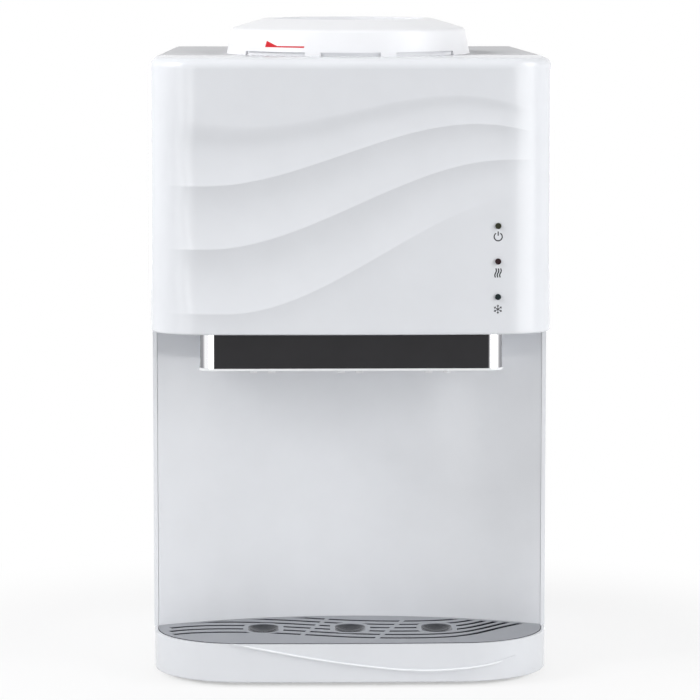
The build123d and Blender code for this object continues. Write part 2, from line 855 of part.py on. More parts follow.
# Faucets, with their levers, valve stems, bonnets and pivot pins
nozzle_z = shelf_height - nozzle_drop
valve_z = shelf_height - valve_drop
valve_top_z = valve_z + valve_height
valve_floor_z = valve_z + valve_wall
passage_z = valve_z + valve_height / 2
pivot_y = tap_y - lever_reach
pivot_z = passage_z + pivot_rise
prong_z = shelf_height - prong_drop
finger_z = valve_top_z + bonnet_height + lever_gap
finger_top_z = finger_z + finger_height
arm_inner = valve_radius + lever_gap
arm_outer = arm_inner + lever_thickness
bar_depth = hub_radius + 2 * lever_gap
inlet_length = elbow_radius + spigot_length
for tap_name, tap_x in taps.items():
    with BuildPart() as faucet:
        with Locations((tap_x, tap_y, valve_z)):
            Cylinder(valve_radius, valve_height, align=upright)
            Cylinder(nozzle_radius, valve_z - nozzle_z, align=hanging)
        with Locations((tap_x, tap_y, pivot_z)):
            Box(2 * valve_radius, lever_reach + hub_radius, 2 * hub_radius, align=forward)
        with Locations((tap_x, tap_y, passage_z)):
            Box(2 * elbow_radius, inlet_reach, 2 * elbow_radius, align=backward)
        with Locations((tap_x, inlet_y, passage_z - column_radius)):
            Cylinder(column_radius, shelf_z - passage_z + column_radius, align=upright)
        with Locations((tap_x, inlet_y, shelf_z)):
            Cylinder(column_flange_radius, column_flange_height, align=hanging)
            Cylinder(elbow_radius, hose_z + elbow_radius - shelf_z, align=upright)
        with Locations((tap_x, inlet_y, hose_z)):
            Cylinder(spigot_radius, inlet_length, rotation=to_back, align=upright)
            Cylinder(spigot_bore, inlet_length, rotation=to_back, align=upright, mode=Mode.SUBTRACT)
            Cylinder(spigot_bore, hose_z - passage_z, align=hanging, mode=Mode.SUBTRACT)
        with Locations((tap_x, tap_y, passage_z)):
            Cylinder(spigot_bore, inlet_reach, rotation=to_back, align=upright, mode=Mode.SUBTRACT)
        with Locations((tap_x, tap_y, valve_floor_z)):
            Cylinder(valve_bore, valve_height, align=upright, mode=Mode.SUBTRACT)
            Cylinder(nozzle_bore, valve_floor_z - nozzle_z, align=hanging, mode=Mode.SUBTRACT)
        with Locations((tap_x, pivot_y, pivot_z)):
            Cylinder(pin_radius + running, 4 * valve_radius, rotation=across, mode=Mode.SUBTRACT)
    save(faucet.part, f"{tap_name}_faucet")

    with BuildPart() as lever:
        for side in (-1, 1):
            with BuildSketch(Plane.YZ.offset(tap_x + side * arm_inner)):
                with BuildLine():
                    Polyline(
                        (pivot_y - hub_radius / 2, pivot_z - hub_radius / 2),
                        (tap_y - prong_depth / 2, prong_z),
                        (tap_y + prong_depth / 2, prong_z),
                        (tap_y + prong_depth / 2, prong_z + prong_height),
                        (pivot_y + hub_radius / 2, pivot_z - hub_radius),
                        (pivot_y + hub_radius, pivot_z),
                        (tap_y + finger_depth / 2, finger_z),
                        (tap_y + finger_depth / 2, finger_top_z),
                        (tap_y - finger_depth / 2, finger_top_z),
                        (pivot_y, pivot_z + hub_radius),
                        close=True,
                    )
                make_face()
                with Locations((pivot_y, pivot_z)):
                    Circle(hub_radius)
                with Locations((pivot_y - bar_depth, pivot_z)):
                    Rectangle(2 * lever_thickness, hub_radius)
            extrude(amount=side * lever_thickness)
            with Locations((tap_x + side * arm_outer, tap_y, prong_z)):
                Box(
                    arm_outer - prong_gap / 2,
                    prong_depth,
                    prong_height,
                    align=(Align.MAX if side > 0 else Align.MIN, Align.CENTER, Align.MIN),
                )
            with Locations((tap_x + side * arm_outer, tap_y, finger_z)):
                Box(
                    arm_outer - stem_radius - lever_gap,
                    finger_depth,
                    finger_height,
                    align=(Align.MAX if side > 0 else Align.MIN, Align.CENTER, Align.MIN),
                )
        with Locations((tap_x, pivot_y - bar_depth - lever_thickness, pivot_z)):
            Box(2 * arm_outer, lever_thickness, hub_radius, align=(Align.CENTER, Align.MIN, Align.CENTER))
        with Locations((tap_x, pivot_y, pivot_z)):
            Cylinder(pin_radius + running, 4 * arm_outer, rotation=across, mode=Mode.SUBTRACT)
    save(lever.part, f"{tap_name}_lever")

    with BuildPart() as stem:
        with Locations((tap_x, tap_y, valve_floor_z + fit)):
            Cylinder(valve_bore - lever_gap, plug_height, align=upright)
        with Locations((tap_x, tap_y, finger_top_z + lever_gap)):
            Cylinder(stem_head_radius, stem_head_height, align=upright)
            Cylinder(stem_radius, finger_top_z + lever_gap - valve_floor_z - fit, align=hanging)
    save(stem.part, f"{tap_name}_stem")

with BuildPart() as faucet_bonnets:
    with Locations(*[(tap_x, tap_y, valve_top_z) for tap_x in taps.values()]):
        Cylinder(valve_radius, bonnet_height, align=upright)
        Cylinder(stem_radius + running, bonnet_height, align=upright, mode=Mode.SUBTRACT)
save(faucet_bonnets.part, "faucet_bonnets")

with BuildPart() as lever_pins:
    with Locations(*[(tap_x, pivot_y, pivot_z) for tap_x in taps.values()]):
        Cylinder(pin_radius, 2 * arm_outer + lever_gap, rotation=across)
save(lever_pins.part, "lever_pins")

# Drip pan and the grille that lies on it
grille_top_z = rim_z + grille_proud
pan_top_z = grille_top_z - grille_thickness
with BuildPart() as drip_pan:
    with BuildSketch(Plane.XY.offset(floor_z)):
        add(tray_plan(lift_gap))
    extrude(amount=pan_top_z - floor_z)
    with BuildSketch(Plane.XY.offset(floor_z + pan_wall)):
        add(tray_plan(lift_gap + pan_wall))
    extrude(amount=pan_top_z - floor_z - pan_wall, mode=Mode.SUBTRACT)
save(drip_pan.part, "drip_pan")

dimple_ball = (dimple_radius**2 + dimple_depth**2) / (2 * dimple_depth)
alcove_back_y = seam_y + alcove_sag
dishes = [(tap_x, tap_y + dimple_set_back) for tap_x in taps.values()]
with BuildPart() as drip_grille:
    with BuildSketch(Plane.XY.offset(pan_top_z)):
        add(tray_plan(lift_gap))
    extrude(amount=grille_thickness)
    with BuildSketch(Plane.XY.offset(pan_top_z)):
        add(tray_plan(lift_gap + pan_wall + fit))
        add(tray_plan(lift_gap + pan_wall + fit + grille_lip), mode=Mode.SUBTRACT)
    extrude(amount=-grille_lip_height)
    with BuildSketch(Plane.XY.offset(grille_top_z)):
        for row in range(slot_rows):
            row_y = alcove_back_y - slot_first - row * slot_pitch
            with BuildLine():
                Spline(*[(x, row_y + rise) for x, rise in slot_points])
            trace(line_width=slot_width)
        add(tray_plan(grille_margin), mode=Mode.INTERSECT)
        with Locations(*dishes):
            SlotCenterToCenter(
                dimple_stretch, 2 * (dimple_radius + dimple_land), rotation=90, mode=Mode.SUBTRACT
            )
        for x in slot_break_places:
            with BuildLine():
                Line((x + slot_break_slant, alcove_back_y), (x - slot_break_slant, y_front))
            trace(line_width=slot_break, mode=Mode.SUBTRACT)
    extrude(amount=-grille_thickness, mode=Mode.SUBTRACT)
    with BuildSketch(Plane.XY.offset(grille_top_z)):
        with Locations(*dishes):
            SlotCenterToCenter(dimple_stretch, 2 * (dimple_radius + dimple_wall), rotation=90)
    extrude(amount=-dimple_depth - dimple_wall)
    ball_z = grille_top_z - dimple_depth + dimple_ball
    with Locations(*[(x, y, ball_z) for x, y in dishes]):
        Cylinder(dimple_ball, dimple_stretch, rotation=(90, 0, 0), mode=Mode.SUBTRACT)
        with Locations((0, -dimple_stretch / 2), (0, dimple_stretch / 2)):
            Sphere(dimple_ball, mode=Mode.SUBTRACT)
save(drip_grille.part, "drip_grille")

# Cold tank with its lid, foam jacket and the frame that carries it
outlets = {
    "cold": (cold_outlet_reach, bottle_y + cold_outlet_set_back),
    "warm": (0.0, bottle_y - warm_outlet_reach),
    "feed": (hot_x + feed_outlet_reach, bottle_y + feed_outlet_set_back),
}
outlet_length = foam_thickness + frame_thickness + spigot_length - fit
with BuildPart() as cold_tank:
    with BuildSketch(Plane.XY.offset(tank_z)):
        with Locations((0, bottle_y)):
            RectangleRounded(tank_size, tank_size, tank_corner)
    extrude(amount=tank_height)
    with BuildSketch(Plane.XY.offset(tank_z + tank_wall)):
        with Locations((0, bottle_y)):
            RectangleRounded(tank_size - 2 * tank_wall, tank_size - 2 * tank_wall, tank_corner - tank_wall)
    extrude(amount=tank_height - tank_wall, mode=Mode.SUBTRACT)
    with Locations(*[(x, y, tank_z) for x, y in outlets.values()]):
        Cylinder(spigot_radius, outlet_length, align=hanging)
    with Locations(*[(x, y, tank_z + tank_wall) for x, y in outlets.values()]):
        Cylinder(spigot_bore, outlet_length + tank_wall, align=hanging, mode=Mode.SUBTRACT)
save(cold_tank.part, "cold_tank")

with BuildPart() as cold_tank_lid:
    with BuildSketch(Plane.XY.offset(tank_top_z)):
        with Locations((0, bottle_y)):
            RectangleRounded(tank_size, tank_size, tank_corner)
            Circle(drop_radius, mode=Mode.SUBTRACT)
    extrude(amount=tank_lid_thickness)
    with BuildSketch(Plane.XY.offset(tank_top_z + tank_lid_thickness)):
        with Locations((0, bottle_y)):
            Circle(drop_radius + tank_lid_thickness)
            Circle(drop_radius, mode=Mode.SUBTRACT)
    extrude(amount=tank_lid_ring)
save(cold_tank_lid.part, "cold_tank_lid")

foam_size = tank_size + 2 * (fit + foam_thickness)
block_y = bottle_y + tank_size / 2
with BuildPart() as tank_foam:
    with BuildSketch(Plane.XY.offset(foam_z)):
        with Locations((0, bottle_y)):
            RectangleRounded(foam_size, foam_size, tank_corner + foam_thickness)
    extrude(amount=foam_thickness + tank_height)
    with BuildSketch(Plane.XY.offset(tank_z)):
        with Locations((0, bottle_y)):
            RectangleRounded(tank_size + 2 * fit, tank_size + 2 * fit, tank_corner + fit)
    extrude(amount=tank_height, mode=Mode.SUBTRACT)
    with Locations(*[(x, y, foam_z) for x, y in outlets.values()]):
        Cylinder(spigot_radius + fit, 2 * foam_thickness, mode=Mode.SUBTRACT)
    with Locations((0, block_y, cooler_z)):
        Box(cooler_size + 2 * fit, 4 * foam_thickness, cooler_size + 2 * fit, mode=Mode.SUBTRACT)
save(tank_foam.part, "tank_foam")

frame_back = back_y - rear_wall - side_wall - fit
with BuildPart() as mid_frame:
    with BuildSketch(Plane.XY.offset(frame_z)):
        add(tail_plan(side_wall + fit, seam_y, frame_back))
        with Locations((0, bottle_y)):
            Rectangle(foam_size, foam_size)
        with Locations(*outlets.values()):
            Circle(spigot_radius + fit, mode=Mode.SUBTRACT)
    extrude(amount=frame_thickness)
save(mid_frame.part, "mid_frame")

# Thermoelectric cooler: block, module, heat sink and fan
module_y = block_y + block_length
sink_y = module_y + module_thickness
fan_y = sink_y + sink_base + fin_length
fan_back_y = fan_y + fan_thickness
with BuildPart() as cold_block:
    with Locations((0, block_y, cooler_z)):
        Box(cooler_size, block_length, cooler_size, align=backward)
save(cold_block.part, "cold_block")

with BuildPart() as peltier_module:
    with Locations((0, module_y, cooler_z)):
        Box(cooler_size, module_thickness, cooler_size, align=backward)
save(peltier_module.part, "peltier_module")

with BuildPart() as heat_sink:
    with Locations((0, sink_y, cooler_z)):
        Box(sink_width, sink_base, sink_height, align=backward)
    with Locations((0, sink_y + sink_base, cooler_z)):
        with GridLocations((sink_width - fin_thickness) / (fin_count - 1), 0, fin_count, 1):
            Box(fin_thickness, fin_length, sink_height, align=backward)
save(heat_sink.part, "heat_sink")

fan_bore = fan_size / 2 - fan_wall
with BuildPart() as fan_frame:
    with BuildSketch(Plane.XZ.offset(-fan_back_y)):
        with Locations((0, cooler_z)):
            Rectangle(fan_size, fan_size)
            Circle(fan_bore, mode=Mode.SUBTRACT)
    extrude(amount=fan_thickness)
    with BuildSketch(Plane.XZ.offset(-fan_back_y)):
        with Locations((0, cooler_z)):
            Rectangle(strut_width, fan_size - fan_wall)
            Rectangle(fan_size - fan_wall, strut_width)
            Circle(fan_hub_radius)
            Circle(fan_shaft_radius + running, mode=Mode.SUBTRACT)
    extrude(amount=fan_plate)
save(fan_frame.part, "fan_frame")

rotor_back_y = fan_back_y - fan_plate - fan_gap
rotor_length = rotor_back_y - fan_y - 2 * fan_gap
rotor_mid_y = rotor_back_y - rotor_length / 2
blade_root = fan_hub_radius - fan_blade_thickness
with BuildPart() as fan_rotor:
    with Locations((0, rotor_back_y, cooler_z)):
        Cylinder(fan_hub_radius, rotor_length, rotation=to_front, align=upright)
        Cylinder(fan_shaft_radius, fan_gap + fan_plate, rotation=to_back, align=upright)
    for blade in range(fan_blade_count):
        turn = radians(blade * 360 / fan_blade_count)
        outward = Vector(cos(turn), 0, sin(turn))
        root = Vector(0, rotor_mid_y, cooler_z) + outward * blade_root
        with BuildSketch(Plane(origin=root, x_dir=(0, 1, 0), z_dir=outward)):
            Rectangle(fan_blade_chord, fan_blade_thickness, rotation=fan_blade_angle)
        extrude(amount=fan_bore - fan_gap - blade_root)
save(fan_rotor.part, "fan_rotor")


# Hot tank on three legs, with its band heater, wool wrap and thermostats
def hot_vessel(inset):
    """The hot tank's body, taken in by inset, with rounded end edges."""
    with BuildPart() as vessel:
        with Locations((hot_x, hot_y, hot_z + inset)):
            Cylinder(hot_radius - inset, hot_tank_height - 2 * inset, align=upright)
        fillet(vessel.edges().filter_by(GeomType.CIRCLE), hot_edge - inset)
    return vessel.part


hot_outer = hot_vessel(0)
hot_inner = hot_vessel(hot_wall)
hot_drain = (drain_x, hot_y + hot_drain_back)
hot_ports = [
    ((hot_x, hot_y, hot_top_z), upright),
    ((hot_x, hot_y, hot_z), hanging),
    ((*hot_drain, hot_z), hanging),
]
with BuildPart() as hot_tank:
    add(hot_outer)
    add(hot_inner, mode=Mode.SUBTRACT)
    for place, way in hot_ports:
        with Locations(place):
            Cylinder(spigot_radius, spigot_length, align=way)
            Cylinder(spigot_bore, 2 * spigot_length, mode=Mode.SUBTRACT)
    with Locations((hot_x, hot_y, floor_z)):
        with PolarLocations(hot_leg_reach, hot_leg_count, start_angle=hot_leg_angle):
            Cylinder(hot_leg_radius, hot_z - floor_z, align=upright)
save(hot_tank.part, "hot_tank")

band_radius = hot_radius + wrap_gap
wool_radius = band_radius + band_wall + wrap_gap
with BuildPart() as heater_band:
    with Locations((hot_x, hot_y, hot_z + band_rise)):
        Cylinder(band_radius + band_wall, band_height, align=upright)
        Cylinder(band_radius, band_height, align=upright, mode=Mode.SUBTRACT)
save(heater_band.part, "heater_band")

with BuildPart() as hot_tank_wool:
    with Locations((hot_x, hot_y, hot_z + wool_rise)):
        Cylinder(wool_radius + wool_wall, wool_height, align=upright)
        Cylinder(wool_radius, wool_height, align=upright, mode=Mode.SUBTRACT)
save(hot_tank_wool.part, "hot_tank_wool")

with BuildPart() as hot_thermostats:
    with Locations((hot_x, hot_y, hot_top_z)):
        with GridLocations(2 * thermostat_reach, 0, 2, 1):
            Cylinder(thermostat_radius, thermostat_height, align=upright)
save(hot_thermostats.part, "hot_thermostats")


# Hoses between the tanks, the taps and the drain
def hose(points, radii):
    """A hose along straight runs joined by arcs of the given radii."""
    with BuildPart() as tube:
        with BuildLine():
            route = FilletPolyline(*points, radius=radii)
        with BuildSketch(Plane(origin=route @ 0, z_dir=route % 0)):
            Circle(hose_radius)
            Circle(hose_radius - hose_wall, mode=Mode.SUBTRACT)
        sweep(path=route)
    return tube.part


def tap_end(tap_x):
    """Where a hose is pushed over a faucet's spigot."""
    return (tap_x, inlet_y + elbow_radius + fit, hose_z)


tank_end_z = frame_z - fit
hot_end_z = hot_top_z + hose_clear
low_end_z = hot_z - hose_clear
low_run_z = hot_z - hose_drop
cold_x, cold_y = outlets["cold"]
warm_x, warm_y = outlets["warm"]
feed_x, feed_y = outlets["feed"]
drain_end_y = back_y - drain_shank - hose_clear
hoses = {
    "cold_hose": hose(
        [
            tap_end(taps["cold"]),
            (taps["cold"], cold_y - cold_hose_turn, hose_z),
            (cold_x, cold_y, hose_z),
            (cold_x, cold_y, tank_end_z),
        ],
        [hose_bend, hose_bend],
    ),
    "warm_hose": hose(
        [tap_end(warm_x), (warm_x, warm_y, hose_z), (warm_x, warm_y, tank_end_z)],
        [hose_bend],
    ),
    "hot_hose": hose(
        [tap_end(hot_x), (hot_x, hot_y, hose_z), (hot_x, hot_y, hot_end_z)],
        [hose_bend],
    ),
    "feed_hose": hose(
        [
            (feed_x, feed_y, tank_end_z),
            (feed_x, feed_y, low_run_z),
            (hot_x, hot_y, low_run_z),
            (hot_x, hot_y, low_end_z),
        ],
        [wide_bend, hose_bend],
    ),
    "drain_hose": hose(
        [(*hot_drain, low_end_z), (*hot_drain, drain_z), (drain_x, drain_end_y, drain_z)],
        [wide_bend],
    ),
}
for hose_name, piece in hoses.items():
    save(piece, hose_name)

# Drain fitting with its cap, and the gland for the mains cord
with BuildPart() as drain_fitting:
    with Locations((drain_x, back_y, drain_z)):
        Cylinder(drain_flange_radius, drain_flange, rotation=to_back, align=upright)
        Cylinder(drain_stub_radius, drain_flange + drain_stub, rotation=to_back, align=upright)
        Cylinder(drain_shank_radius, drain_shank, rotation=to_front, align=upright)
        Cylinder(spigot_radius, drain_shank + hose_clear + spigot_length, rotation=to_front, align=upright)
        Cylinder(spigot_bore, depth, rotation=to_front, mode=Mode.SUBTRACT)
save(drain_fitting.part, "drain_fitting")

cap_bore = drain_stub_radius + fit
with BuildPart() as drain_cap:
    with Locations((drain_x, back_y + drain_flange + fit, drain_z)):
        Cylinder(cap_bore + drain_cap_wall, drain_stub + drain_cap_wall, rotation=to_back, align=upright)
        Cylinder(cap_bore, drain_stub, rotation=to_back, align=upright, mode=Mode.SUBTRACT)
    fillet(drain_cap.faces().sort_by(Axis.Y)[-1].edges(), drain_cap_wall / 2)
save(drain_cap.part, "drain_cap")

with BuildPart() as cord_gland:
    with Locations((gland_x, back_y, gland_z)):
        Cylinder(gland_flange_radius, gland_flange, rotation=to_back, align=upright)
        Cylinder(gland_shank_radius, gland_shank, rotation=to_front, align=upright)
        Cylinder(gland_bore, 4 * gland_shank, rotation=to_front, mode=Mode.SUBTRACT)
    fillet(cord_gland.faces().sort_by(Axis.Y)[-1].edges().sort_by(SortBy.RADIUS)[-1], gland_round)
save(cord_gland.part, "cord_gland")

# Rocker switches for heating and cooling, each resting in its off position
with BuildPart() as switch_frames:
    with Locations(*[(x, back_y, switch_z) for x in switch_centres.values()]):
        Box(
            switch_width + 2 * switch_bezel,
            switch_bezel_thickness,
            switch_height + 2 * switch_bezel,
            align=backward,
        )
        Box(switch_width, switch_depth, switch_height, align=forward)
        Box(
            rocker_width + 2 * lever_gap,
            4 * rocker_in,
            rocker_height + 2 * rocker_gap,
            mode=Mode.SUBTRACT,
        )
        Cylinder(
            rocker_pin_radius + running,
            rocker_width + 2 * rocker_pin_length + 2 * fit,
            rotation=across,
            mode=Mode.SUBTRACT,
        )
save(switch_frames.part, "switch_frames")

rocker_turn = radians(-rocker_tilt)
for switch_name, x in switch_centres.items():
    with BuildPart() as rocker:
        with BuildSketch(
            Plane(
                origin=(x, back_y, switch_z),
                x_dir=(0, cos(rocker_turn), sin(rocker_turn)),
                z_dir=(1, 0, 0),
            )
        ):
            with BuildLine():
                Polyline(
                    (-rocker_in, -rocker_height / 2),
                    (rocker_out, -rocker_height / 2),
                    (rocker_out - rocker_dip, 0),
                    (rocker_out, rocker_height / 2),
                    (-rocker_in, rocker_height / 2),
                    close=True,
                )
            make_face()
        extrude(amount=rocker_width / 2, both=True)
        with Locations((x, back_y, switch_z)):
            Cylinder(rocker_pin_radius, rocker_width + 2 * rocker_pin_length, rotation=across)
    save(rocker.part, f"{switch_name}_rocker")

# Power board with its transformer and capacitors
board_z = floor_z + standoff_height
with BuildPart() as power_board:
    with Locations((board_x, board_y, board_z)):
        Box(board_width, board_length, board_thickness, align=upright)
save(power_board.part, "power_board")

with BuildPart() as board_components:
    with Locations((board_x, board_y - transformer_shift, board_z + board_thickness)):
        Box(transformer_size, transformer_size, transformer_height, align=upright)
    with Locations((board_x, board_y + capacitor_shift, board_z + board_thickness)):
        with GridLocations(capacitor_pitch, 0, capacitor_count, 1):
            Cylinder(capacitor_radius, capacitor_height, align=upright)
save(board_components.part, "board_components")
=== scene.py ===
import json
from math import asin, copysign, cos, pi, radians, sin, sqrt

import bmesh
import bpy
from mathutils import Matrix, Vector


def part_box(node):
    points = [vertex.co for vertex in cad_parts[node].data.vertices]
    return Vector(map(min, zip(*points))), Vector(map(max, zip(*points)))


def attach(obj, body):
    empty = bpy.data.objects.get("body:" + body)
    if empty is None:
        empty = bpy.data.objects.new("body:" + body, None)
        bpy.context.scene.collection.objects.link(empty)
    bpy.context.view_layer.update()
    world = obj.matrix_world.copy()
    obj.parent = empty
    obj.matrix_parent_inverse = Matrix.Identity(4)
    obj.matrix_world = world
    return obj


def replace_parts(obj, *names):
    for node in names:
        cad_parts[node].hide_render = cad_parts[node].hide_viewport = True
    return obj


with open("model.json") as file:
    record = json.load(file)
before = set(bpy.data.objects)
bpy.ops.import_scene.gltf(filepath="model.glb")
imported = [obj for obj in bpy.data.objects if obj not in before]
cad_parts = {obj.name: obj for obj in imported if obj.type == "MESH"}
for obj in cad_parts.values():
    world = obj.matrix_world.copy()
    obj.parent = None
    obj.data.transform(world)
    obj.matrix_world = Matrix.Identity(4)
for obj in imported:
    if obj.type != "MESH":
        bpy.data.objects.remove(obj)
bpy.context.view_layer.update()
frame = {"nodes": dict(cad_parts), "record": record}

# Looks of a countertop water dispenser, in metres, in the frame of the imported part:
# +Z is up and the front faces -Y.

nodes = frame["nodes"]
mm = 0.001
weld_distance = 0.001 * mm  # points of a mesh nearer than this become one

# Camera, fitted to the photograph's outline
photo_pixels = 700
focal_pixels = 3600.0
sensor_width = 36.0  # millimetres
camera_place = (-0.0592, -2.898, 0.5749)
camera_yaw = 0.0211
camera_pitch = 0.1133

# Front cover: plan and edges as the solid has them
cover_low, cover_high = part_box("front_cover")
cover_half = cover_high.x
seam_y = cover_high.y
nose_y = cover_low.y
cover_corner = 40 * mm
cover_bow = 4 * mm
cover_wall = 3 * mm
cover_ledge = 14 * mm
lower_round = 1.5 * mm
top_round = 8 * mm
well_y = -25 * mm
well_cut_radius = 90.3 * mm
side_steps = 4
corner_steps = 24
nose_steps = 108
round_steps = 8
arc_steps = 48

# Waves carved into the front cover, from the highest down: heights of each crest at its left and
# right, where its rise starts and ends across the front, and how its ends bend up or down
wave_crests = (
    (434.8 * mm, 458.3 * mm, -78.6 * mm, 80.1 * mm, 6.1 * mm, -9.9 * mm),
    (388.7 * mm, 436.0 * mm, -110.7 * mm, 95.4 * mm, 0.0, -5.3 * mm),
    (340.2 * mm, 408.5 * mm, -110.7 * mm, 118.3 * mm, 0.0, 0.0),
    (290.6 * mm, 382.0 * mm, -95.4 * mm, 141.0 * mm, 0.0, 0.0),
)
wave_end = 134 * mm  # where the bent ends are measured
wave_carve = 0.05  # depth of a hollow over its height
wave_last = 1.1 * mm  # depth of the level face under the lowest crest
wave_last_fall = 16 * mm
wave_soft = (20 * mm, 95 * mm)  # the lowest crest runs out between these places
wave_deepest = 0.42  # deepest place of a hollow, from its upper crest
wave_fade = (112 * mm, 148 * mm)  # the hollows run out round the corners
wave_rows = (0.0, 0.02, 0.05, 0.1, 0.18, 0.28, 0.4, 0.52, 0.64, 0.75, 0.85, 0.92, 0.965, 0.99)

# Signs under the indicator lights
lens_low, lens_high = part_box("indicator_lenses")
lens_x = (lens_low.x + lens_high.x) / 2
lens_pitch = 27.25 * mm
lens_top = (lens_low.z + lens_high.z) / 2 + lens_pitch
sign_drops = (8.3 * mm, 8.85 * mm, 9.5 * mm)
sign_radius = 3.1 * mm
sign_strokes = (0.9 * mm, 0.92 * mm, 0.5 * mm)
sign_lift = 0.06 * mm
sign_depth = 0.1 * mm

# Shapes of the signs, as shares of their radius
power_gap = radians(32)  # half of the ring's opening
power_bar = (1.3, 0.25)  # heights of the bar's ends
power_steps = 40
heat_places = (-0.6, 0.0, 0.6)
heat_lean = 0.04
heat_swing = 0.17
heat_reach = 1.12
heat_steps = 24
snow_arms = 6
snow_reach = 1.15
snow_twig_place = 0.66
snow_twig = 0.36
snow_twig_turn = radians(45)

# Marks on the rocker switches
rocker_pivot_y = 148 * mm
rocker_tilt = radians(8)
rocker_face = 3.4 * mm  # middle of each half of the rocker's face, out from its pivot
rocker_slope = radians(11.7)
rocker_mark_rise = 2.9 * mm
rocker_mark = 1.5 * mm
rocker_stroke = 0.5 * mm
rocker_ring_steps = 32

# Rear screws
screw_low, screw_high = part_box("rear_screws")
screw_radius = 1.6 * mm
screw_length = 8 * mm
screw_head_radius = 3.5 * mm
screw_head_height = 2.0 * mm
screw_head_round = 1.0 * mm
screw_cross = 1.9 * mm
screw_cross_half = 0.45 * mm
screw_cross_depth = 1.1 * mm
screw_sides = 40
screw_rows = 4
screw_pitch = (screw_high.z - screw_low.z - 2 * screw_head_radius) / (screw_rows - 1)
screw_places = [
    Vector((side, screw_high.y - screw_head_height, screw_low.z + screw_head_radius + row * screw_pitch))
    for side in (screw_low.x + screw_head_radius, screw_high.x - screw_head_radius)
    for row in range(screw_rows)
]

# Ring under the bottle seat
seal_width = 5 * mm
seal_sides = 120
seal_web = 0.55  # where the lips start, as a share of the ring's height
seal_lip_place = 0.5  # middle of a lip and half its width, as shares of half the ring's width
seal_lip_half = 0.42

# Ridge on the front of the base: places across and heights
base_corner = 70 * mm
base_bow = 5 * mm
ridge_points = (
    (-95 * mm, 35 * mm),
    (-28 * mm, 22.5 * mm),
    (24 * mm, 15.4 * mm),
    (60 * mm, 13.2 * mm),
    (99 * mm, 15.8 * mm),
    (128 * mm, 21.1 * mm),
)
ridge_half = 1.0 * mm
ridge_rise = 1.4 * mm
ridge_sink = 0.85 * mm  # the base's front behind the ridge's face
ridge_run_out = 18 * mm
ridge_steps = 120

# Softboxes round the dispenser: degrees to the right of its front, degrees up, width and height, watts
lamp_aim = Vector((0, -0.1, 0.28))
lamp_distance = 2.0
softboxes = (
    ("left_high_softbox", -75, 38, (0.9, 0.9), 32.0),
    ("right_high_softbox", 75, 38, (0.9, 0.9), 15.0),
    ("right_softbox", 57, 8, (1.6, 1.4), 24.0),
    ("left_strip", -46, 6, (0.5, 1.5), 5.2),
    ("left_front_strip", -27, 6, (0.4, 1.5), 6.2),
    ("front_softbox", 0, 3, (1.8, 0.5), 1.0),
    ("front_high_softbox", 0, 16, (1.6, 0.6), 0.2),
    ("top_softbox", 0, 62, (1.2, 1.2), 1.0),
    ("back_softbox", 180, 0, (1.6, 0.3), 20.0),
)
world_level = 0.08

# White floor that the dispenser stands on
floor_left, floor_right = -1.5, 1.5
floor_front, floor_back = -0.5, 1.0
floor_white = (0.72, 0.72, 0.725)
floor_cloud = 3  # repeats per metre
floor_tone = 0.004
floor_roughness = 0.8
floor_lift = 0.78  # share of plain white in what the eye sees of the floor near the dispenser
floor_clear = (0.26, 0.5)  # beyond the second distance from the middle it is all plain white
floor_contact = 25 * mm  # how near something has to be for the painted contact shadow to darken the floor under it
floor_gap = 0.045  # share of open sky at which the painted dark line under the base ends
painted_shadow_keep = 0.3  # what that painted shadow keeps of the white

# Patterns in the finishes: repeats per metre, detail, and how far they move tone and roughness
noise_low, noise_high = 0.3, 0.7  # span of the noise that is used
cloud_scale = 35
gloss_scale = 90
gloss_detail = 4
gloss_spread = 0.1
grain_detail = 3
line_scale = 300
line_detail = 4
line_tone = 0.04
line_gloss = (0.8, 1.25)
fibre_detail = 6
fibre_tone = 0.12
felt_scale = 60
felt_roughness = (0.85, 0.95)
felt_sheen = 0.3
plate_scale = 160
plate_detail = 5
plate_roughness = (0.12, 0.2)
lens_scale = 400
lens_roughness = (0.06, 0.12)
lens_ior = 1.3

# Places that the finishes follow
grille_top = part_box("drip_grille")[1].z
grille_edge = 0.05 * mm  # where the grille's painted shade starts below its top, and over what depth
grille_shade = 0.6 * mm
grille_grain = 2200
grille_grain_depth = 0.004 * mm
bar_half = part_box("strip_ends")[1].x
end_width = 11 * mm
# Painted reflections across each chrome end of the bar: a dark inner edge, a bright band for a softbox,
# and a dark outer edge for the shaded parts it faces
painted_end_reflections = (
    (0.0, (0.12, 0.12, 0.13)),
    (0.16, (0.93, 0.93, 0.95)),
    (0.66, (0.93, 0.93, 0.95)),
    (0.8, (0.3, 0.3, 0.32)),
    (1.0, (0.16, 0.16, 0.18)),
)
lens_tints = (
    (0.02, 0.022, 0.008),
    (0.02, 0.004, 0.007),
    (0.005, 0.014, 0.016),
)


def smoothstep(t):
    """Rises from 0 to 1 with level ends."""
    t = min(max(t, 0.0), 1.0)
    return t * t * (3 - 2 * t)


def new_piece(name, mesh, body, material):
    """Wrap a mesh in an object that rides on a body and takes its finish from a slot."""
    piece = bpy.data.objects.new(name, mesh)
    bpy.context.scene.collection.objects.link(piece)
    mesh.materials.append(material)
    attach(piece, body)
    return piece


def mesh_of(name, points, faces, smooth=True):
    """A mesh from points and faces, with its normals turned outwards."""
    mesh = bpy.data.meshes.new(name)
    mesh.from_pydata([tuple(p) for p in points], [], faces)
    shape = bmesh.new()
    shape.from_mesh(mesh)
    bmesh.ops.remove_doubles(shape, verts=shape.verts, dist=weld_distance)
    bmesh.ops.recalc_face_normals(shape, faces=shape.faces)
    for face in shape.faces:
        face.smooth = smooth
    shape.to_mesh(mesh)
    shape.free()
    return mesh


# Materials
def new_material(name):
    """A material with its node tree and its Principled shader."""
    material = bpy.data.materials.new(name)
    material.use_nodes = True
    return material, material.node_tree, material.node_tree.nodes["Principled BSDF"]


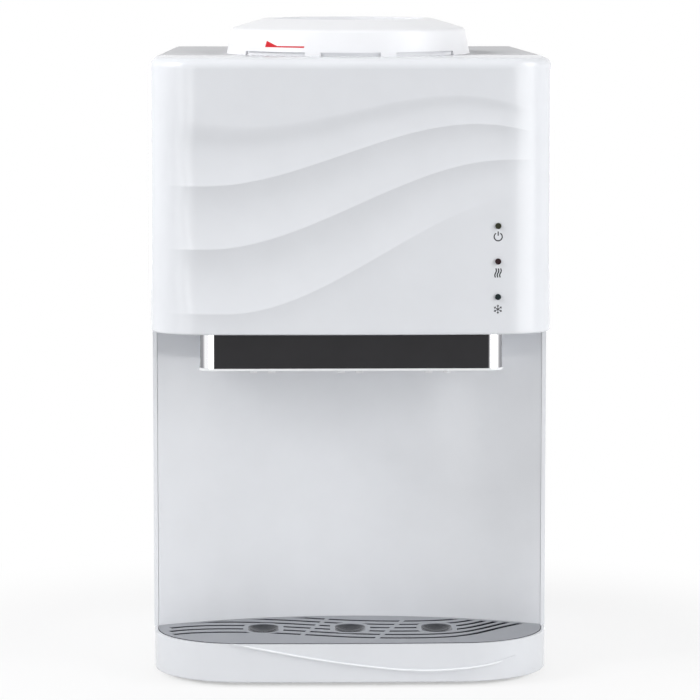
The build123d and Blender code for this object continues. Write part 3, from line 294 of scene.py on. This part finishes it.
def place_of(tree, stretch=(1, 1, 1)):
    """Object coordinates, stretched along each axis."""
    coordinate = tree.nodes.new("ShaderNodeTexCoord")
    mapping = tree.nodes.new("ShaderNodeMapping")
    mapping.inputs["Scale"].default_value = stretch
    tree.links.new(coordinate.outputs["Object"], mapping.inputs["Vector"])
    return mapping.outputs["Vector"]


def axis_of(tree, axis):
    """Object coordinate along one axis."""
    coordinate = tree.nodes.new("ShaderNodeTexCoord")
    split = tree.nodes.new("ShaderNodeSeparateXYZ")
    tree.links.new(coordinate.outputs["Object"], split.inputs["Vector"])
    return split.outputs[axis]


def spanned(tree, value, start, end, low=0.0, high=1.0, interpolation="LINEAR"):
    """A value that runs from low to high while another runs from start to end."""
    span = tree.nodes.new("ShaderNodeMapRange")
    span.interpolation_type = interpolation
    span.inputs["From Min"].default_value = start
    span.inputs["From Max"].default_value = end
    span.inputs["To Min"].default_value = low
    span.inputs["To Max"].default_value = high
    tree.links.new(value, span.inputs["Value"])
    return span.outputs["Result"]


def combined(tree, operation, *values):
    """What an operation makes of its values."""
    node = tree.nodes.new("ShaderNodeMath")
    node.operation = operation
    for value, socket in zip(values, node.inputs):
        tree.links.new(value, socket)
    return node.outputs["Value"]


def noise(tree, place, scale, detail=2.0):
    """A noise value at a scale in repeats per metre."""
    texture = tree.nodes.new("ShaderNodeTexNoise")
    texture.inputs["Scale"].default_value = scale
    texture.inputs["Detail"].default_value = detail
    tree.links.new(place, texture.inputs["Vector"])
    return texture.outputs["Fac"]


def shaded(colour, factor):
    """A colour made lighter or darker."""
    return tuple(min(channel * factor, 1.0) for channel in colour)


def ramp_colour(tree, shader, value, stops, interpolation="LINEAR"):
    """Base colour that runs through stops, each a place and a colour."""
    ramp = tree.nodes.new("ShaderNodeValToRGB")
    ramp.color_ramp.interpolation = interpolation
    elements = ramp.color_ramp.elements
    while len(elements) < len(stops):
        elements.new(1.0)
    for element, (place, colour) in zip(elements, stops):
        element.position = place
        element.color = (*colour, 1.0)
    tree.links.new(value, ramp.inputs["Fac"])
    tree.links.new(ramp.outputs["Color"], shader.inputs["Base Color"])


def vary_colour(tree, shader, value, colour, spread):
    """Base colour that wanders round colour by spread."""
    stops = ((noise_low, shaded(colour, 1 - spread)), (noise_high, shaded(colour, 1 + spread)))
    ramp_colour(tree, shader, value, stops)


def vary_roughness(tree, shader, value, low, high):
    """Roughness that wanders between low and high."""
    tree.links.new(spanned(tree, value, noise_low, noise_high, low, high), shader.inputs["Roughness"])


def add_bump(tree, shader, value, depth):
    """Bump of a depth in metres."""
    bump = tree.nodes.new("ShaderNodeBump")
    bump.inputs["Distance"].default_value = depth
    tree.links.new(value, bump.inputs["Height"])
    tree.links.new(bump.outputs["Normal"], shader.inputs["Normal"])


def moulded(name, colour, roughness, grain, grain_depth, spread=0.012, ior=1.46):
    """Moulded plastic or rubber: cloudy colour, uneven gloss and a fine grain."""
    material, tree, shader = new_material(name)
    place = place_of(tree)
    vary_colour(tree, shader, noise(tree, place, cloud_scale), colour, spread)
    gloss = noise(tree, place, gloss_scale, gloss_detail)
    vary_roughness(tree, shader, gloss, roughness * (1 - gloss_spread), roughness * (1 + gloss_spread))
    add_bump(tree, shader, noise(tree, place, grain, grain_detail), grain_depth)
    shader.inputs["IOR"].default_value = ior
    return material


def brushed(name, colour, roughness, stretch, depth):
    """Metal with fine lines drawn across the stretched axis."""
    material, tree, shader = new_material(name)
    shader.inputs["Metallic"].default_value = 1.0
    lines = noise(tree, place_of(tree, stretch), line_scale, line_detail)
    vary_colour(tree, shader, lines, colour, line_tone)
    vary_roughness(tree, shader, lines, *[roughness * factor for factor in line_gloss])
    add_bump(tree, shader, lines, depth)
    return material


def felted(name, colour, fibre, depth):
    """Foam or wool: a soft, mottled surface with deep fine relief."""
    material, tree, shader = new_material(name)
    place = place_of(tree)
    fibres = noise(tree, place, fibre, fibre_detail)
    vary_colour(tree, shader, fibres, colour, fibre_tone)
    vary_roughness(tree, shader, noise(tree, place, felt_scale), *felt_roughness)
    add_bump(tree, shader, fibres, depth)
    shader.inputs["Sheen Weight"].default_value = felt_sheen
    return material


def plate_with_painted_reflections(name, stops, start, end):
    """Bright plating with painted reflections: its tone follows the distance from the middle, from start
    to end.
    """
    material, tree, shader = new_material(name)
    shader.inputs["Metallic"].default_value = 1.0
    across = combined(tree, "ABSOLUTE", axis_of(tree, "X"))
    ramp_colour(tree, shader, spanned(tree, across, start, end), stops)
    vary_roughness(tree, shader, noise(tree, place_of(tree), plate_scale, plate_detail), *plate_roughness)
    return material


def painted_recess_shade(name, colour, painted_shade_colour, top, depth, roughness, deep_roughness):
    """Moulded plastic, glossier down in its dishes and slots and darker there with painted shade."""
    material, tree, shader = new_material(name)
    sunk = spanned(tree, axis_of(tree, "Z"), top - depth, top)
    ramp_colour(tree, shader, sunk, ((0.0, painted_shade_colour), (1.0, colour)))
    tree.links.new(spanned(tree, sunk, 0.0, 1.0, deep_roughness, roughness), shader.inputs["Roughness"])
    grain = noise(tree, place_of(tree), grille_grain, grain_detail)
    add_bump(tree, shader, grain, grille_grain_depth)
    return material


def lens_glass(name, tints, top, pitch):
    """Dark lenses, each tinted by its height on the front."""
    material, tree, shader = new_material(name)
    count = len(tints)
    height = spanned(tree, axis_of(tree, "Z"), top - (count - 0.5) * pitch, top + pitch / 2)
    stops = [(step / count, tint) for step, tint in enumerate(reversed(tints))]
    ramp_colour(tree, shader, height, stops, "CONSTANT")
    vary_roughness(tree, shader, noise(tree, place_of(tree), lens_scale), *lens_roughness)
    shader.inputs["IOR"].default_value = lens_ior
    return material


# Finishes by slot. Moulded ones give colour, roughness, grain in repeats per metre and its depth,
# and where they differ from plain plastic also the spread of tone and the index of refraction.
materials = {
    # white_shell, on the splash panel, is lighter than the front cover's front_white: partly a different
    # moulding, partly painted light that lifts the shade under the cover's overhang
    "white_shell": moulded("white_shell", (0.79, 0.806, 0.838), 0.24, 900, 0.004 * mm),
    "base_white": moulded("base_white", (0.667, 0.682, 0.711), 0.24, 900, 0.004 * mm),
    "side_white": moulded("side_white", (0.77, 0.785, 0.815), 0.42, 1400, 0.02 * mm),
    "top_grey": moulded("top_grey", (0.62, 0.624, 0.641), 0.6, 1400, 0.03 * mm, ior=1.25),
    "collar_white": moulded("collar_white", (0.81, 0.817, 0.84), 0.32, 1100, 0.005 * mm),
    "mark_red": moulded("mark_red", (0.58, 0.006, 0.016), 0.4, 1100, 0.004 * mm, 0.06, 1.25),
    # The strip's near-black is painted reflection: it stands in for the dark surroundings that the
    # polished strip reflects
    "strip_black": moulded("strip_black", (0.014, 0.0135, 0.016), 0.1, 500, 0.001 * mm, 0.1, 1.38),
    "chrome_trim": plate_with_painted_reflections("chrome_trim", painted_end_reflections, bar_half - end_width, bar_half),
    "lever_white": moulded("lever_white", (0.86, 0.87, 0.89), 0.24, 1200, 0.005 * mm),
    "valve_plastic": moulded("valve_plastic", (0.74, 0.74, 0.73), 0.4, 1500, 0.01 * mm),
    # The grille's dishes and slots get painted shade, darker towards their bottoms
    "grille_grey": painted_recess_shade(
        "grille_grey",
        (0.23, 0.24, 0.265),
        (0.03, 0.032, 0.037),
        grille_top - grille_edge,
        grille_shade,
        0.34,
        0.16,
    ),
    # The pan's near-black is partly its own dark grey, partly painted shade for what shows through the
    # grille's slots
    "pan_grey": moulded("pan_grey", (0.05, 0.052, 0.057), 0.45, 2200, 0.03 * mm, 0.03),
    "lens_dark": lens_glass("lens_dark", lens_tints, lens_top, lens_pitch),
    "steel": brushed("steel", (0.6, 0.6, 0.61), 0.36, (1, 1, 14), 0.004 * mm),
    "sheet_steel": moulded("sheet_steel", (0.62, 0.63, 0.645), 0.5, 700, 0.06 * mm, 0.02),
    "aluminium": brushed("aluminium", (0.74, 0.745, 0.755), 0.35, (14, 1, 1), 0.006 * mm),
    "module_white": moulded("module_white", (0.85, 0.85, 0.82), 0.5, 1800, 0.02 * mm, 0.02),
    "foam": felted("foam", (0.8, 0.79, 0.72), 700, 0.25 * mm),
    "wool": felted("wool", (0.55, 0.5, 0.38), 420, 0.6 * mm),
    "silicone": moulded("silicone", (0.66, 0.66, 0.63), 0.45, 800, 0.01 * mm, 0.03, 1.41),
    "black_plastic": moulded("black_plastic", (0.025, 0.025, 0.027), 0.45, 1600, 0.03 * mm, 0.1),
    "rocker_red": moulded("rocker_red", (0.42, 0.012, 0.01), 0.22, 900, 0.003 * mm, 0.06),
    "rocker_green": moulded("rocker_green", (0.012, 0.2, 0.05), 0.22, 900, 0.003 * mm, 0.06),
    "board_green": moulded("board_green", (0.015, 0.1, 0.035), 0.35, 500, 0.02 * mm, 0.15),
    "rubber_dark": moulded("rubber_dark", (0.02, 0.02, 0.02), 0.75, 1300, 0.05 * mm, 0.15),
}
# The front cover's own white; the lighter white_shell carries painted light
front_white = moulded("front_white", (0.74, 0.757, 0.791), 0.24, 900, 0.004 * mm)
ink = moulded("sign_ink", (0.022, 0.022, 0.026), 0.6, 3000, 0.005 * mm, 0.1, 1.3)
# A whiter copy of the base's white for the ridge: painted highlight
ridge_painted_highlight = moulded("ridge_painted_highlight", (0.76, 0.775, 0.8), 0.22, 900, 0.002 * mm)
mark_paint = moulded("mark_paint", (0.8, 0.8, 0.8), 0.5, 3000, 0.005 * mm, 0.04)

for part in frame["record"]["subparts"]:
    slots = nodes[part["node"]].data.materials
    slots.clear()
    slots.append(materials[part["material_slot"]])


# Front cover with its carved waves
bow_radius = (cover_half**2 + cover_bow**2) / (2 * cover_bow)
nose_centre = Vector((0, nose_y + bow_radius))
corner_x = cover_half - cover_corner
corner_y = nose_centre.y - sqrt((bow_radius - cover_corner) ** 2 - corner_x**2)
corner_turn = asin(corner_x / (bow_radius - cover_corner))


def cover_stations():
    """Points round the front cover's plan with their outward normals, from left to right."""
    sides = [seam_y + (corner_y - seam_y) * step / side_steps for step in range(side_steps)]
    corners = [pi / 2 + (corner_turn - pi / 2) * step / corner_steps for step in range(corner_steps)]
    nose = [corner_turn * (2 * step / nose_steps - 1) for step in range(nose_steps + 1)]
    stations = [(Vector((-cover_half, y)), Vector((-1, 0))) for y in sides]
    for turn in [-a for a in corners] + nose + corners[::-1]:
        outward = Vector((sin(turn), -cos(turn)))
        if abs(turn) > corner_turn:
            centre = Vector((copysign(corner_x, turn), corner_y))
            stations.append((centre + cover_corner * outward, outward))
        else:
            stations.append((nose_centre + bow_radius * outward, outward))
    return stations + [(Vector((cover_half, y)), Vector((1, 0))) for y in sides[::-1]]


def crest_height(crest, x):
    """Height of a wave's crest at x across the front."""
    left, right, start, end, left_bend, right_bend = crest
    height = left + (right - left) * smoothstep((x - start) / (end - start))
    past_left = min(max((start - x) / (start + wave_end), 0.0), 1.0)
    past_right = min(max((x - end) / abs(wave_end - end), 0.0), 1.0)
    return height + left_bend * past_left**2 + right_bend * past_right**2


def wave_lines(x):
    """Heights that bound the waves at x, from the highest crest down to the lower edge."""
    return [crest_height(crest, x) for crest in wave_crests] + [cover_low.z + lower_round]


def carving(x, z):
    """How deep the carved front lies behind the plain one."""
    start, end = wave_fade
    fade = 1 - smoothstep((abs(x) - start) / (end - start))
    lines = wave_lines(x)
    if z > lines[0]:
        return 0.0
    soft = wave_last * smoothstep((x - wave_soft[0]) / (wave_soft[1] - wave_soft[0]))
    for upper, lower in zip(lines[:-1], lines[1:-1]):
        if lower <= z <= upper:
            t = (upper - z) / (upper - lower) - wave_deepest
            reach = wave_deepest if t < 0 else 1 - wave_deepest
            share = 1 - (t / reach) ** 2
            if upper == lines[0] and t < 0:
                share = smoothstep(1 + t / reach)
            depth = wave_carve * (upper - lower) * share
            if lower == lines[-2] and t > 0:
                depth += soft * (t / reach) ** 2
            return fade * depth
    below = min(max((lines[-2] - z) / wave_last_fall, 0.0), 1.0)
    return fade * (soft + (wave_last - soft) * (1 - (1 - below) ** 2))


def cover_profile(x):
    """Insets and heights of the front cover at x, from its lower ledge up to its flat top."""
    quarter = [pi / 2 * step / round_steps for step in range(round_steps + 1)]
    sunk = carving(x, cover_low.z)
    rows = [(cover_ledge, cover_low.z)]
    for a in quarter[:-1]:
        rows.append((sunk + lower_round * (1 - sin(a)), cover_low.z + lower_round * (1 - cos(a))))
    lines = [cover_high.z - top_round] + wave_lines(x)
    for upper, lower in reversed(list(zip(lines, lines[1:]))):
        heights = [upper - (upper - lower) * (1 - t) for t in wave_rows]
        rows += [(carving(x, z), z) for z in heights]
    for a in quarter:
        rows.append((top_round * (1 - cos(a)), cover_high.z - top_round * (1 - sin(a))))
    return rows


def front_shell():
    """The front cover: its profile swept round its plan, with a flat top that is cut out for the well."""
    points, faces, columns = [], [], []
    for place, outward in cover_stations():
        column = []
        for inset, z in cover_profile(place.x):
            column.append(len(points))
            points.append(Vector((*(place - inset * outward), z)))
        columns.append(column)
    for left, right in zip(columns, columns[1:]):
        for row in range(len(left) - 1):
            faces.append((left[row], right[row], right[row + 1], left[row + 1]))
    top = [column[-1] for column in columns]
    reach = asin((well_y - seam_y) / well_cut_radius)
    for step in range(arc_steps + 1):
        turn = -reach - (pi - 2 * reach) * step / arc_steps
        top.append(len(points))
        points.append((well_cut_radius * cos(turn), well_y + well_cut_radius * sin(turn), cover_high.z))
    faces.append(tuple(top))
    mesh = mesh_of("front_shell", points, faces)
    piece = new_piece("front_shell", mesh, "housing", front_white)
    wall = piece.modifiers.new("wall", "SOLIDIFY")
    wall.thickness = cover_wall
    wall.offset = -1
    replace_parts(piece, "front_cover")


def nose_point(x, corner, bow):
    """Point and outward normal of a nose's plan at x: its bowed front, then its round corners."""
    radius = (cover_half**2 + bow**2) / (2 * bow)
    centre = Vector((0, nose_y + radius))
    side_x = cover_half - corner
    if abs(x) <= radius * side_x / (radius - corner):
        outward = Vector((x, -sqrt(radius**2 - x**2))) / radius
        return centre + radius * outward, outward
    across = x - copysign(side_x, x)
    outward = Vector((across, -sqrt(corner**2 - across**2))) / corner
    side_y = centre.y - sqrt((radius - corner) ** 2 - side_x**2)
    return Vector((copysign(side_x, x), side_y)) + corner * outward, outward


def face_point(x, z, lift):
    """A point on the carved front, lifted off it."""
    place, outward = nose_point(x, cover_corner, cover_bow)
    return Vector((*(place + (lift - carving(x, z)) * outward), z))


# Rounded crest of the ridge on the base, whiter than the base as a painted highlight
def ridge_height(x):
    """Height of the ridge at x: smooth through its measured places."""
    places = ridge_points
    slopes = [(places[1][1] - places[0][1]) / (places[1][0] - places[0][0])]
    for before, after in zip(places, places[2:]):
        slopes.append((after[1] - before[1]) / (after[0] - before[0]))
    slopes.append((places[-1][1] - places[-2][1]) / (places[-1][0] - places[-2][0]))
    for i in range(len(places) - 1):
        (x0, z0), (x1, z1) = places[i], places[i + 1]
        if x <= x1:
            break
    span = x1 - x0
    t = (x - x0) / span
    bend = t * (1 - t) * span * ((1 - t) * slopes[i] - t * slopes[i + 1])
    return z0 + (z1 - z0) * smoothstep(t) + bend


def ridge_crest():
    """A bead along the ridge that runs out at both ends, in a whiter finish that paints the ridge's
    highlight.
    """
    points, faces = [], []
    start, end = ridge_points[0][0], ridge_points[-1][0]
    for step in range(ridge_steps + 1):
        x = start + (end - start) * step / ridge_steps
        size = smoothstep(min(x - start, end - x) / ridge_run_out)
        place, outward = nose_point(x, base_corner, base_bow)
        for k in range(round_steps + 1):
            turn = pi * (k / round_steps - 0.5)
            out = size * ridge_rise * cos(turn) - ridge_sink
            z = ridge_height(x) + size * ridge_half * sin(turn)
            points.append(Vector((*(place + out * outward), z)))
    row = round_steps + 1
    for i in range(ridge_steps):
        for k in range(round_steps):
            first = i * row + k
            faces.append((first, first + row, first + row + 1, first + 1))
    new_piece("base_ridge", mesh_of("base_ridge", points, faces), "housing", ridge_painted_highlight)


# Cross-head screws of the rear panel
def add_screws():
    """Round heads with a cross recess, each on its shank."""
    shape = bmesh.new()
    for place in screw_places:
        turn = Matrix.Translation(place) @ Matrix.Rotation(-pi / 2, 4, "X")
        profile = [(screw_radius, -screw_length), (screw_radius, 0), (screw_head_radius, 0)]
        rim = screw_head_radius - screw_head_round
        for step in range(round_steps + 1):
            a = pi / 2 * step / round_steps
            height = screw_head_height - screw_head_round * (1 - sin(a))
            profile.append((rim + screw_head_round * cos(a), height))
        spots = [2 * pi * k / screw_sides for k in range(screw_sides)]
        loops = []
        for radius, height in profile:
            ring = [Vector((radius * cos(a), radius * sin(a), height)) for a in spots]
            loops.append([shape.verts.new(turn @ point) for point in ring])
        for low, high in zip(loops, loops[1:]):
            for k in range(screw_sides):
                nxt = (k + 1) % screw_sides
                shape.faces.new((low[k], low[nxt], high[nxt], high[k])).smooth = True
        shape.faces.new(loops[0][::-1])
        cross = []
        for quarter in range(4):
            swing = Matrix.Rotation(quarter * pi / 2, 3, "Z")
            for x, y in ((screw_cross_half, screw_cross_half), (screw_cross_half, screw_cross)):
                cross.append(swing @ Vector((x, y, screw_head_height)))
            cross.append(swing @ Vector((-screw_cross_half, screw_cross, screw_head_height)))
        top = [shape.verts.new(turn @ point) for point in cross]
        sunk = [shape.verts.new(turn @ (point - Vector((0, 0, screw_cross_depth)))) for point in cross]
        count = len(top)
        for k in range(count):
            nxt = (k + 1) % count
            shape.faces.new((top[k], sunk[k], sunk[nxt], top[nxt]))
        shape.faces.new(sunk)
        edges = []
        for ring in (loops[-1], top):
            edges += [shape.edges.get(pair) for pair in zip(ring, ring[1:] + ring[:1])]
        bmesh.ops.triangle_fill(shape, use_beauty=True, use_dissolve=False, edges=edges)
    bmesh.ops.recalc_face_normals(shape, faces=shape.faces)
    mesh = bpy.data.meshes.new("panel_screws")
    shape.to_mesh(mesh)
    shape.free()
    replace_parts(new_piece("panel_screws", mesh, "housing", materials["steel"]), "rear_screws")


# Soft ring under the bottle seat
def add_seal():
    """A ring with two rounded lips on its upper face."""
    low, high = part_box("seat_seal")
    centre = (low + high) / 2
    outer = (high.x - low.x) / 2
    width = seal_width / 2
    middle = outer - width
    height = high.z - low.z
    outline = [(-1.0, 0.0), (1.0, 0.0), (1.0, seal_web)]
    for lip in (seal_lip_place, -seal_lip_place):
        for step in range(round_steps + 1):
            a = pi * step / round_steps
            outline.append((lip + seal_lip_half * cos(a), seal_web + (1 - seal_web) * sin(a)))
    outline.append((-1.0, seal_web))
    points, faces = [], []
    count = len(outline)
    for step in range(seal_sides):
        turn = 2 * pi * step / seal_sides
        for across, up in outline:
            radius = middle + across * width
            x, y = centre.x + radius * cos(turn), centre.y + radius * sin(turn)
            points.append((x, y, low.z + up * height))
        for k in range(count):
            here, there = step * count, (step + 1) % seal_sides * count
            nxt = (k + 1) % count
            faces.append((here + k, here + nxt, there + nxt, there + k))
    mesh = mesh_of("seat_ring", points, faces)
    piece = new_piece("seat_ring", mesh, "bottle_seat", materials["silicone"])
    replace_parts(piece, "seat_seal")


# Signs printed under the indicator lights
def ribbon(line, width):
    """Left and right edges of a stroke along a line of points in the plane."""
    edges = []
    for i, point in enumerate(line):
        along = line[min(i + 1, len(line) - 1)] - line[max(i - 1, 0)]
        across = Vector((-along.y, along.x)).normalized() * width / 2
        edges.append((point + across, point - across))
    return edges


def add_strokes(name, strokes, width, to_space, body, material):
    """Raised strokes laid on a surface: to_space turns a point of the plane and a lift into space."""
    points, faces = [], []
    for line in strokes:
        first = len(points)
        for left, right in ribbon(line, width):
            points += [to_space(left, sign_lift), to_space(right, sign_lift)]
            points += [to_space(right, sign_lift - sign_depth), to_space(left, sign_lift - sign_depth)]
        last = len(points) - 4
        for i in range(first, last, 4):
            for k in range(4):
                faces.append((i + k, i + (k + 1) % 4, i + 4 + (k + 1) % 4, i + 4 + k))
        faces += [tuple(range(first, first + 4)), tuple(range(last, last + 4))]
    return new_piece(name, mesh_of(name, points, faces, smooth=False), body, material)


def power_strokes(r):
    """An open ring with a bar at its top."""
    turns = [power_gap + 2 * (pi - power_gap) * step / power_steps for step in range(power_steps + 1)]
    return [
        [Vector((r * sin(a), r * cos(a))) for a in turns],
        [Vector((0, end * r)) for end in power_bar],
    ]


def heat_strokes(r):
    """Three wavy upright lines."""
    steps = [2 * step / heat_steps - 1 for step in range(heat_steps + 1)]
    lines = []
    for place in heat_places:
        across = [place + heat_lean * s + heat_swing * sin(pi * s) for s in steps]
        lines.append([Vector((r * x, r * heat_reach * s)) for x, s in zip(across, steps)])
    return lines


def snow_strokes(r):
    """Six arms, each with a pair of twigs."""
    lines = []
    for arm in range(snow_arms):
        turn = 2 * pi * arm / snow_arms
        out = Vector((sin(turn), cos(turn)))
        lines.append([Vector((0, 0)), snow_reach * r * out])
        fork = snow_twig_place * r * out
        for lean in (turn - snow_twig_turn, turn + snow_twig_turn):
            lines.append([fork, fork + snow_twig * r * Vector((sin(lean), cos(lean)))])
    return lines


def add_signs():
    """Power, heating and cooling signs, one under each light."""
    signs = (("power", power_strokes), ("heat", heat_strokes), ("cool", snow_strokes))
    for row, (name, drawn) in enumerate(signs):
        middle = Vector((lens_x, lens_top - row * lens_pitch - sign_drops[row]))
        add_strokes(
            f"{name}_sign",
            drawn(sign_radius),
            sign_strokes[row],
            lambda p, lift: face_point(middle.x + p.x, middle.y + p.y, lift),
            "housing",
            ink,
        )


# On and off marks on the rockers
def add_rocker_marks():
    """A bar on each rocker's upper half and a ring on its lower half."""
    for name in ("heat", "cool"):
        low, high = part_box(f"{name}_rocker")
        pivot = Vector(((low.x + high.x) / 2, rocker_pivot_y, (low.z + high.z) / 2))
        out = Vector((0, cos(rocker_tilt), -sin(rocker_tilt)))
        up = Vector((0, sin(rocker_tilt), cos(rocker_tilt)))
        for mark, half in (("on", 1), ("off", -1)):
            face_out = cos(rocker_slope) * out - half * sin(rocker_slope) * up
            face_up = cos(rocker_slope) * up + half * sin(rocker_slope) * out
            centre = pivot + rocker_face * out + half * rocker_mark_rise * up
            if half > 0:
                line = [Vector((0, -rocker_mark)), Vector((0, rocker_mark))]
            else:
                turns = [2 * pi * step / rocker_ring_steps for step in range(rocker_ring_steps + 1)]
                line = [rocker_mark * Vector((sin(a), cos(a))) for a in turns]
            add_strokes(
                f"{name}_{mark}_mark",
                [line],
                rocker_stroke,
                lambda p, lift: centre - p.x * Vector((1, 0, 0)) + p.y * face_up + lift * face_out,
                f"{name}_switch",
                mark_paint,
            )


front_shell()
ridge_crest()
add_signs()
add_rocker_marks()
add_screws()
add_seal()


# Floor, lights, world and camera
def seen_by_eye(tree):
    """1 for what the camera sees, itself or in reflections and through glass."""
    path = tree.nodes.new("ShaderNodeLightPath")
    seen = path.outputs["Is Camera Ray"]
    for name in ("Is Glossy Ray", "Is Transmission Ray"):
        seen = combined(tree, "MAXIMUM", seen, path.outputs[name])
    return seen


def add_floor():
    """A plain white floor under the feet, with a painted contact shadow under the base."""
    mesh = bpy.data.meshes.new("floor")
    front = [(floor_left, floor_front, 0), (floor_right, floor_front, 0)]
    back = [(floor_right, floor_back, 0), (floor_left, floor_back, 0)]
    mesh.from_pydata(front + back, [], [(0, 1, 2, 3)])
    floor = bpy.data.objects.new("floor", mesh)
    bpy.context.scene.collection.objects.link(floor)
    material, tree, shader = new_material("floor_white")
    place = place_of(tree)
    vary_colour(tree, shader, noise(tree, place, floor_cloud), floor_white, floor_tone)
    shader.inputs["Roughness"].default_value = floor_roughness
    away = tree.nodes.new("ShaderNodeVectorMath")
    away.operation = "LENGTH"
    tree.links.new(place, away.inputs[0])
    share = spanned(tree, away.outputs["Value"], *floor_clear, floor_lift, 1.0, "SMOOTHSTEP")
    contact = tree.nodes.new("ShaderNodeAmbientOcclusion")
    contact.inputs["Distance"].default_value = floor_contact
    plain = tree.nodes.new("ShaderNodeEmission")
    # Painted contact shadow: the floor's white darkens where something is near above it
    line = spanned(tree, contact.outputs["AO"], 0.0, floor_gap, painted_shadow_keep)
    tree.links.new(line, plain.inputs["Strength"])
    mix = tree.nodes.new("ShaderNodeMixShader")
    tree.links.new(combined(tree, "MULTIPLY", share, seen_by_eye(tree)), mix.inputs["Fac"])
    tree.links.new(shader.outputs["BSDF"], mix.inputs[1])
    tree.links.new(plain.outputs["Emission"], mix.inputs[2])
    tree.links.new(mix.outputs["Shader"], tree.nodes["Material Output"].inputs["Surface"])
    mesh.materials.append(material)


def lamp_place(turn, rise):
    """A place round the front, from degrees to the right of it and degrees up."""
    a, b = radians(turn), radians(rise)
    return lamp_aim + lamp_distance * Vector((sin(a) * cos(b), -cos(a) * cos(b), sin(b)))


def add_softbox(name, place, size, power):
    """A large rectangular lamp turned towards the dispenser."""
    light = bpy.data.lights.new(name, "AREA")
    light.shape = "RECTANGLE"
    light.size, light.size_y = size
    light.energy = power
    lamp = bpy.data.objects.new(name, light)
    bpy.context.scene.collection.objects.link(lamp)
    lamp.location = place
    lamp.rotation_euler = (lamp_aim - place).to_track_quat("-Z", "Y").to_euler()


def light_world(level):
    """White as seen by the camera and in reflections, a plain level of light elsewhere."""
    world = bpy.data.worlds.new("studio")
    bpy.context.scene.world = world
    world.use_nodes = True
    tree = world.node_tree
    background = tree.nodes["Background"]
    background.inputs["Color"].default_value = (1.0, 1.0, 1.0, 1.0)
    strength = spanned(tree, seen_by_eye(tree), 0.0, 1.0, level)
    tree.links.new(strength, background.inputs["Strength"])


def add_camera():
    """The photograph's camera."""
    camera = bpy.data.objects.new("camera", bpy.data.cameras.new("camera"))
    bpy.context.scene.collection.objects.link(camera)
    camera.data.sensor_width = sensor_width
    camera.data.lens = focal_pixels / photo_pixels * sensor_width
    turn = Matrix.Rotation(-camera_yaw, 4, "Z") @ Matrix.Rotation(pi / 2 - camera_pitch, 4, "X")
    camera.matrix_world = Matrix.Translation(camera_place) @ turn
    bpy.context.scene.camera = camera


add_floor()
for name, turn, rise, size, power in softboxes:
    add_softbox(name, lamp_place(turn, rise), size, power)
light_world(world_level)
add_camera()
bpy.context.scene.view_settings.view_transform = "Standard"
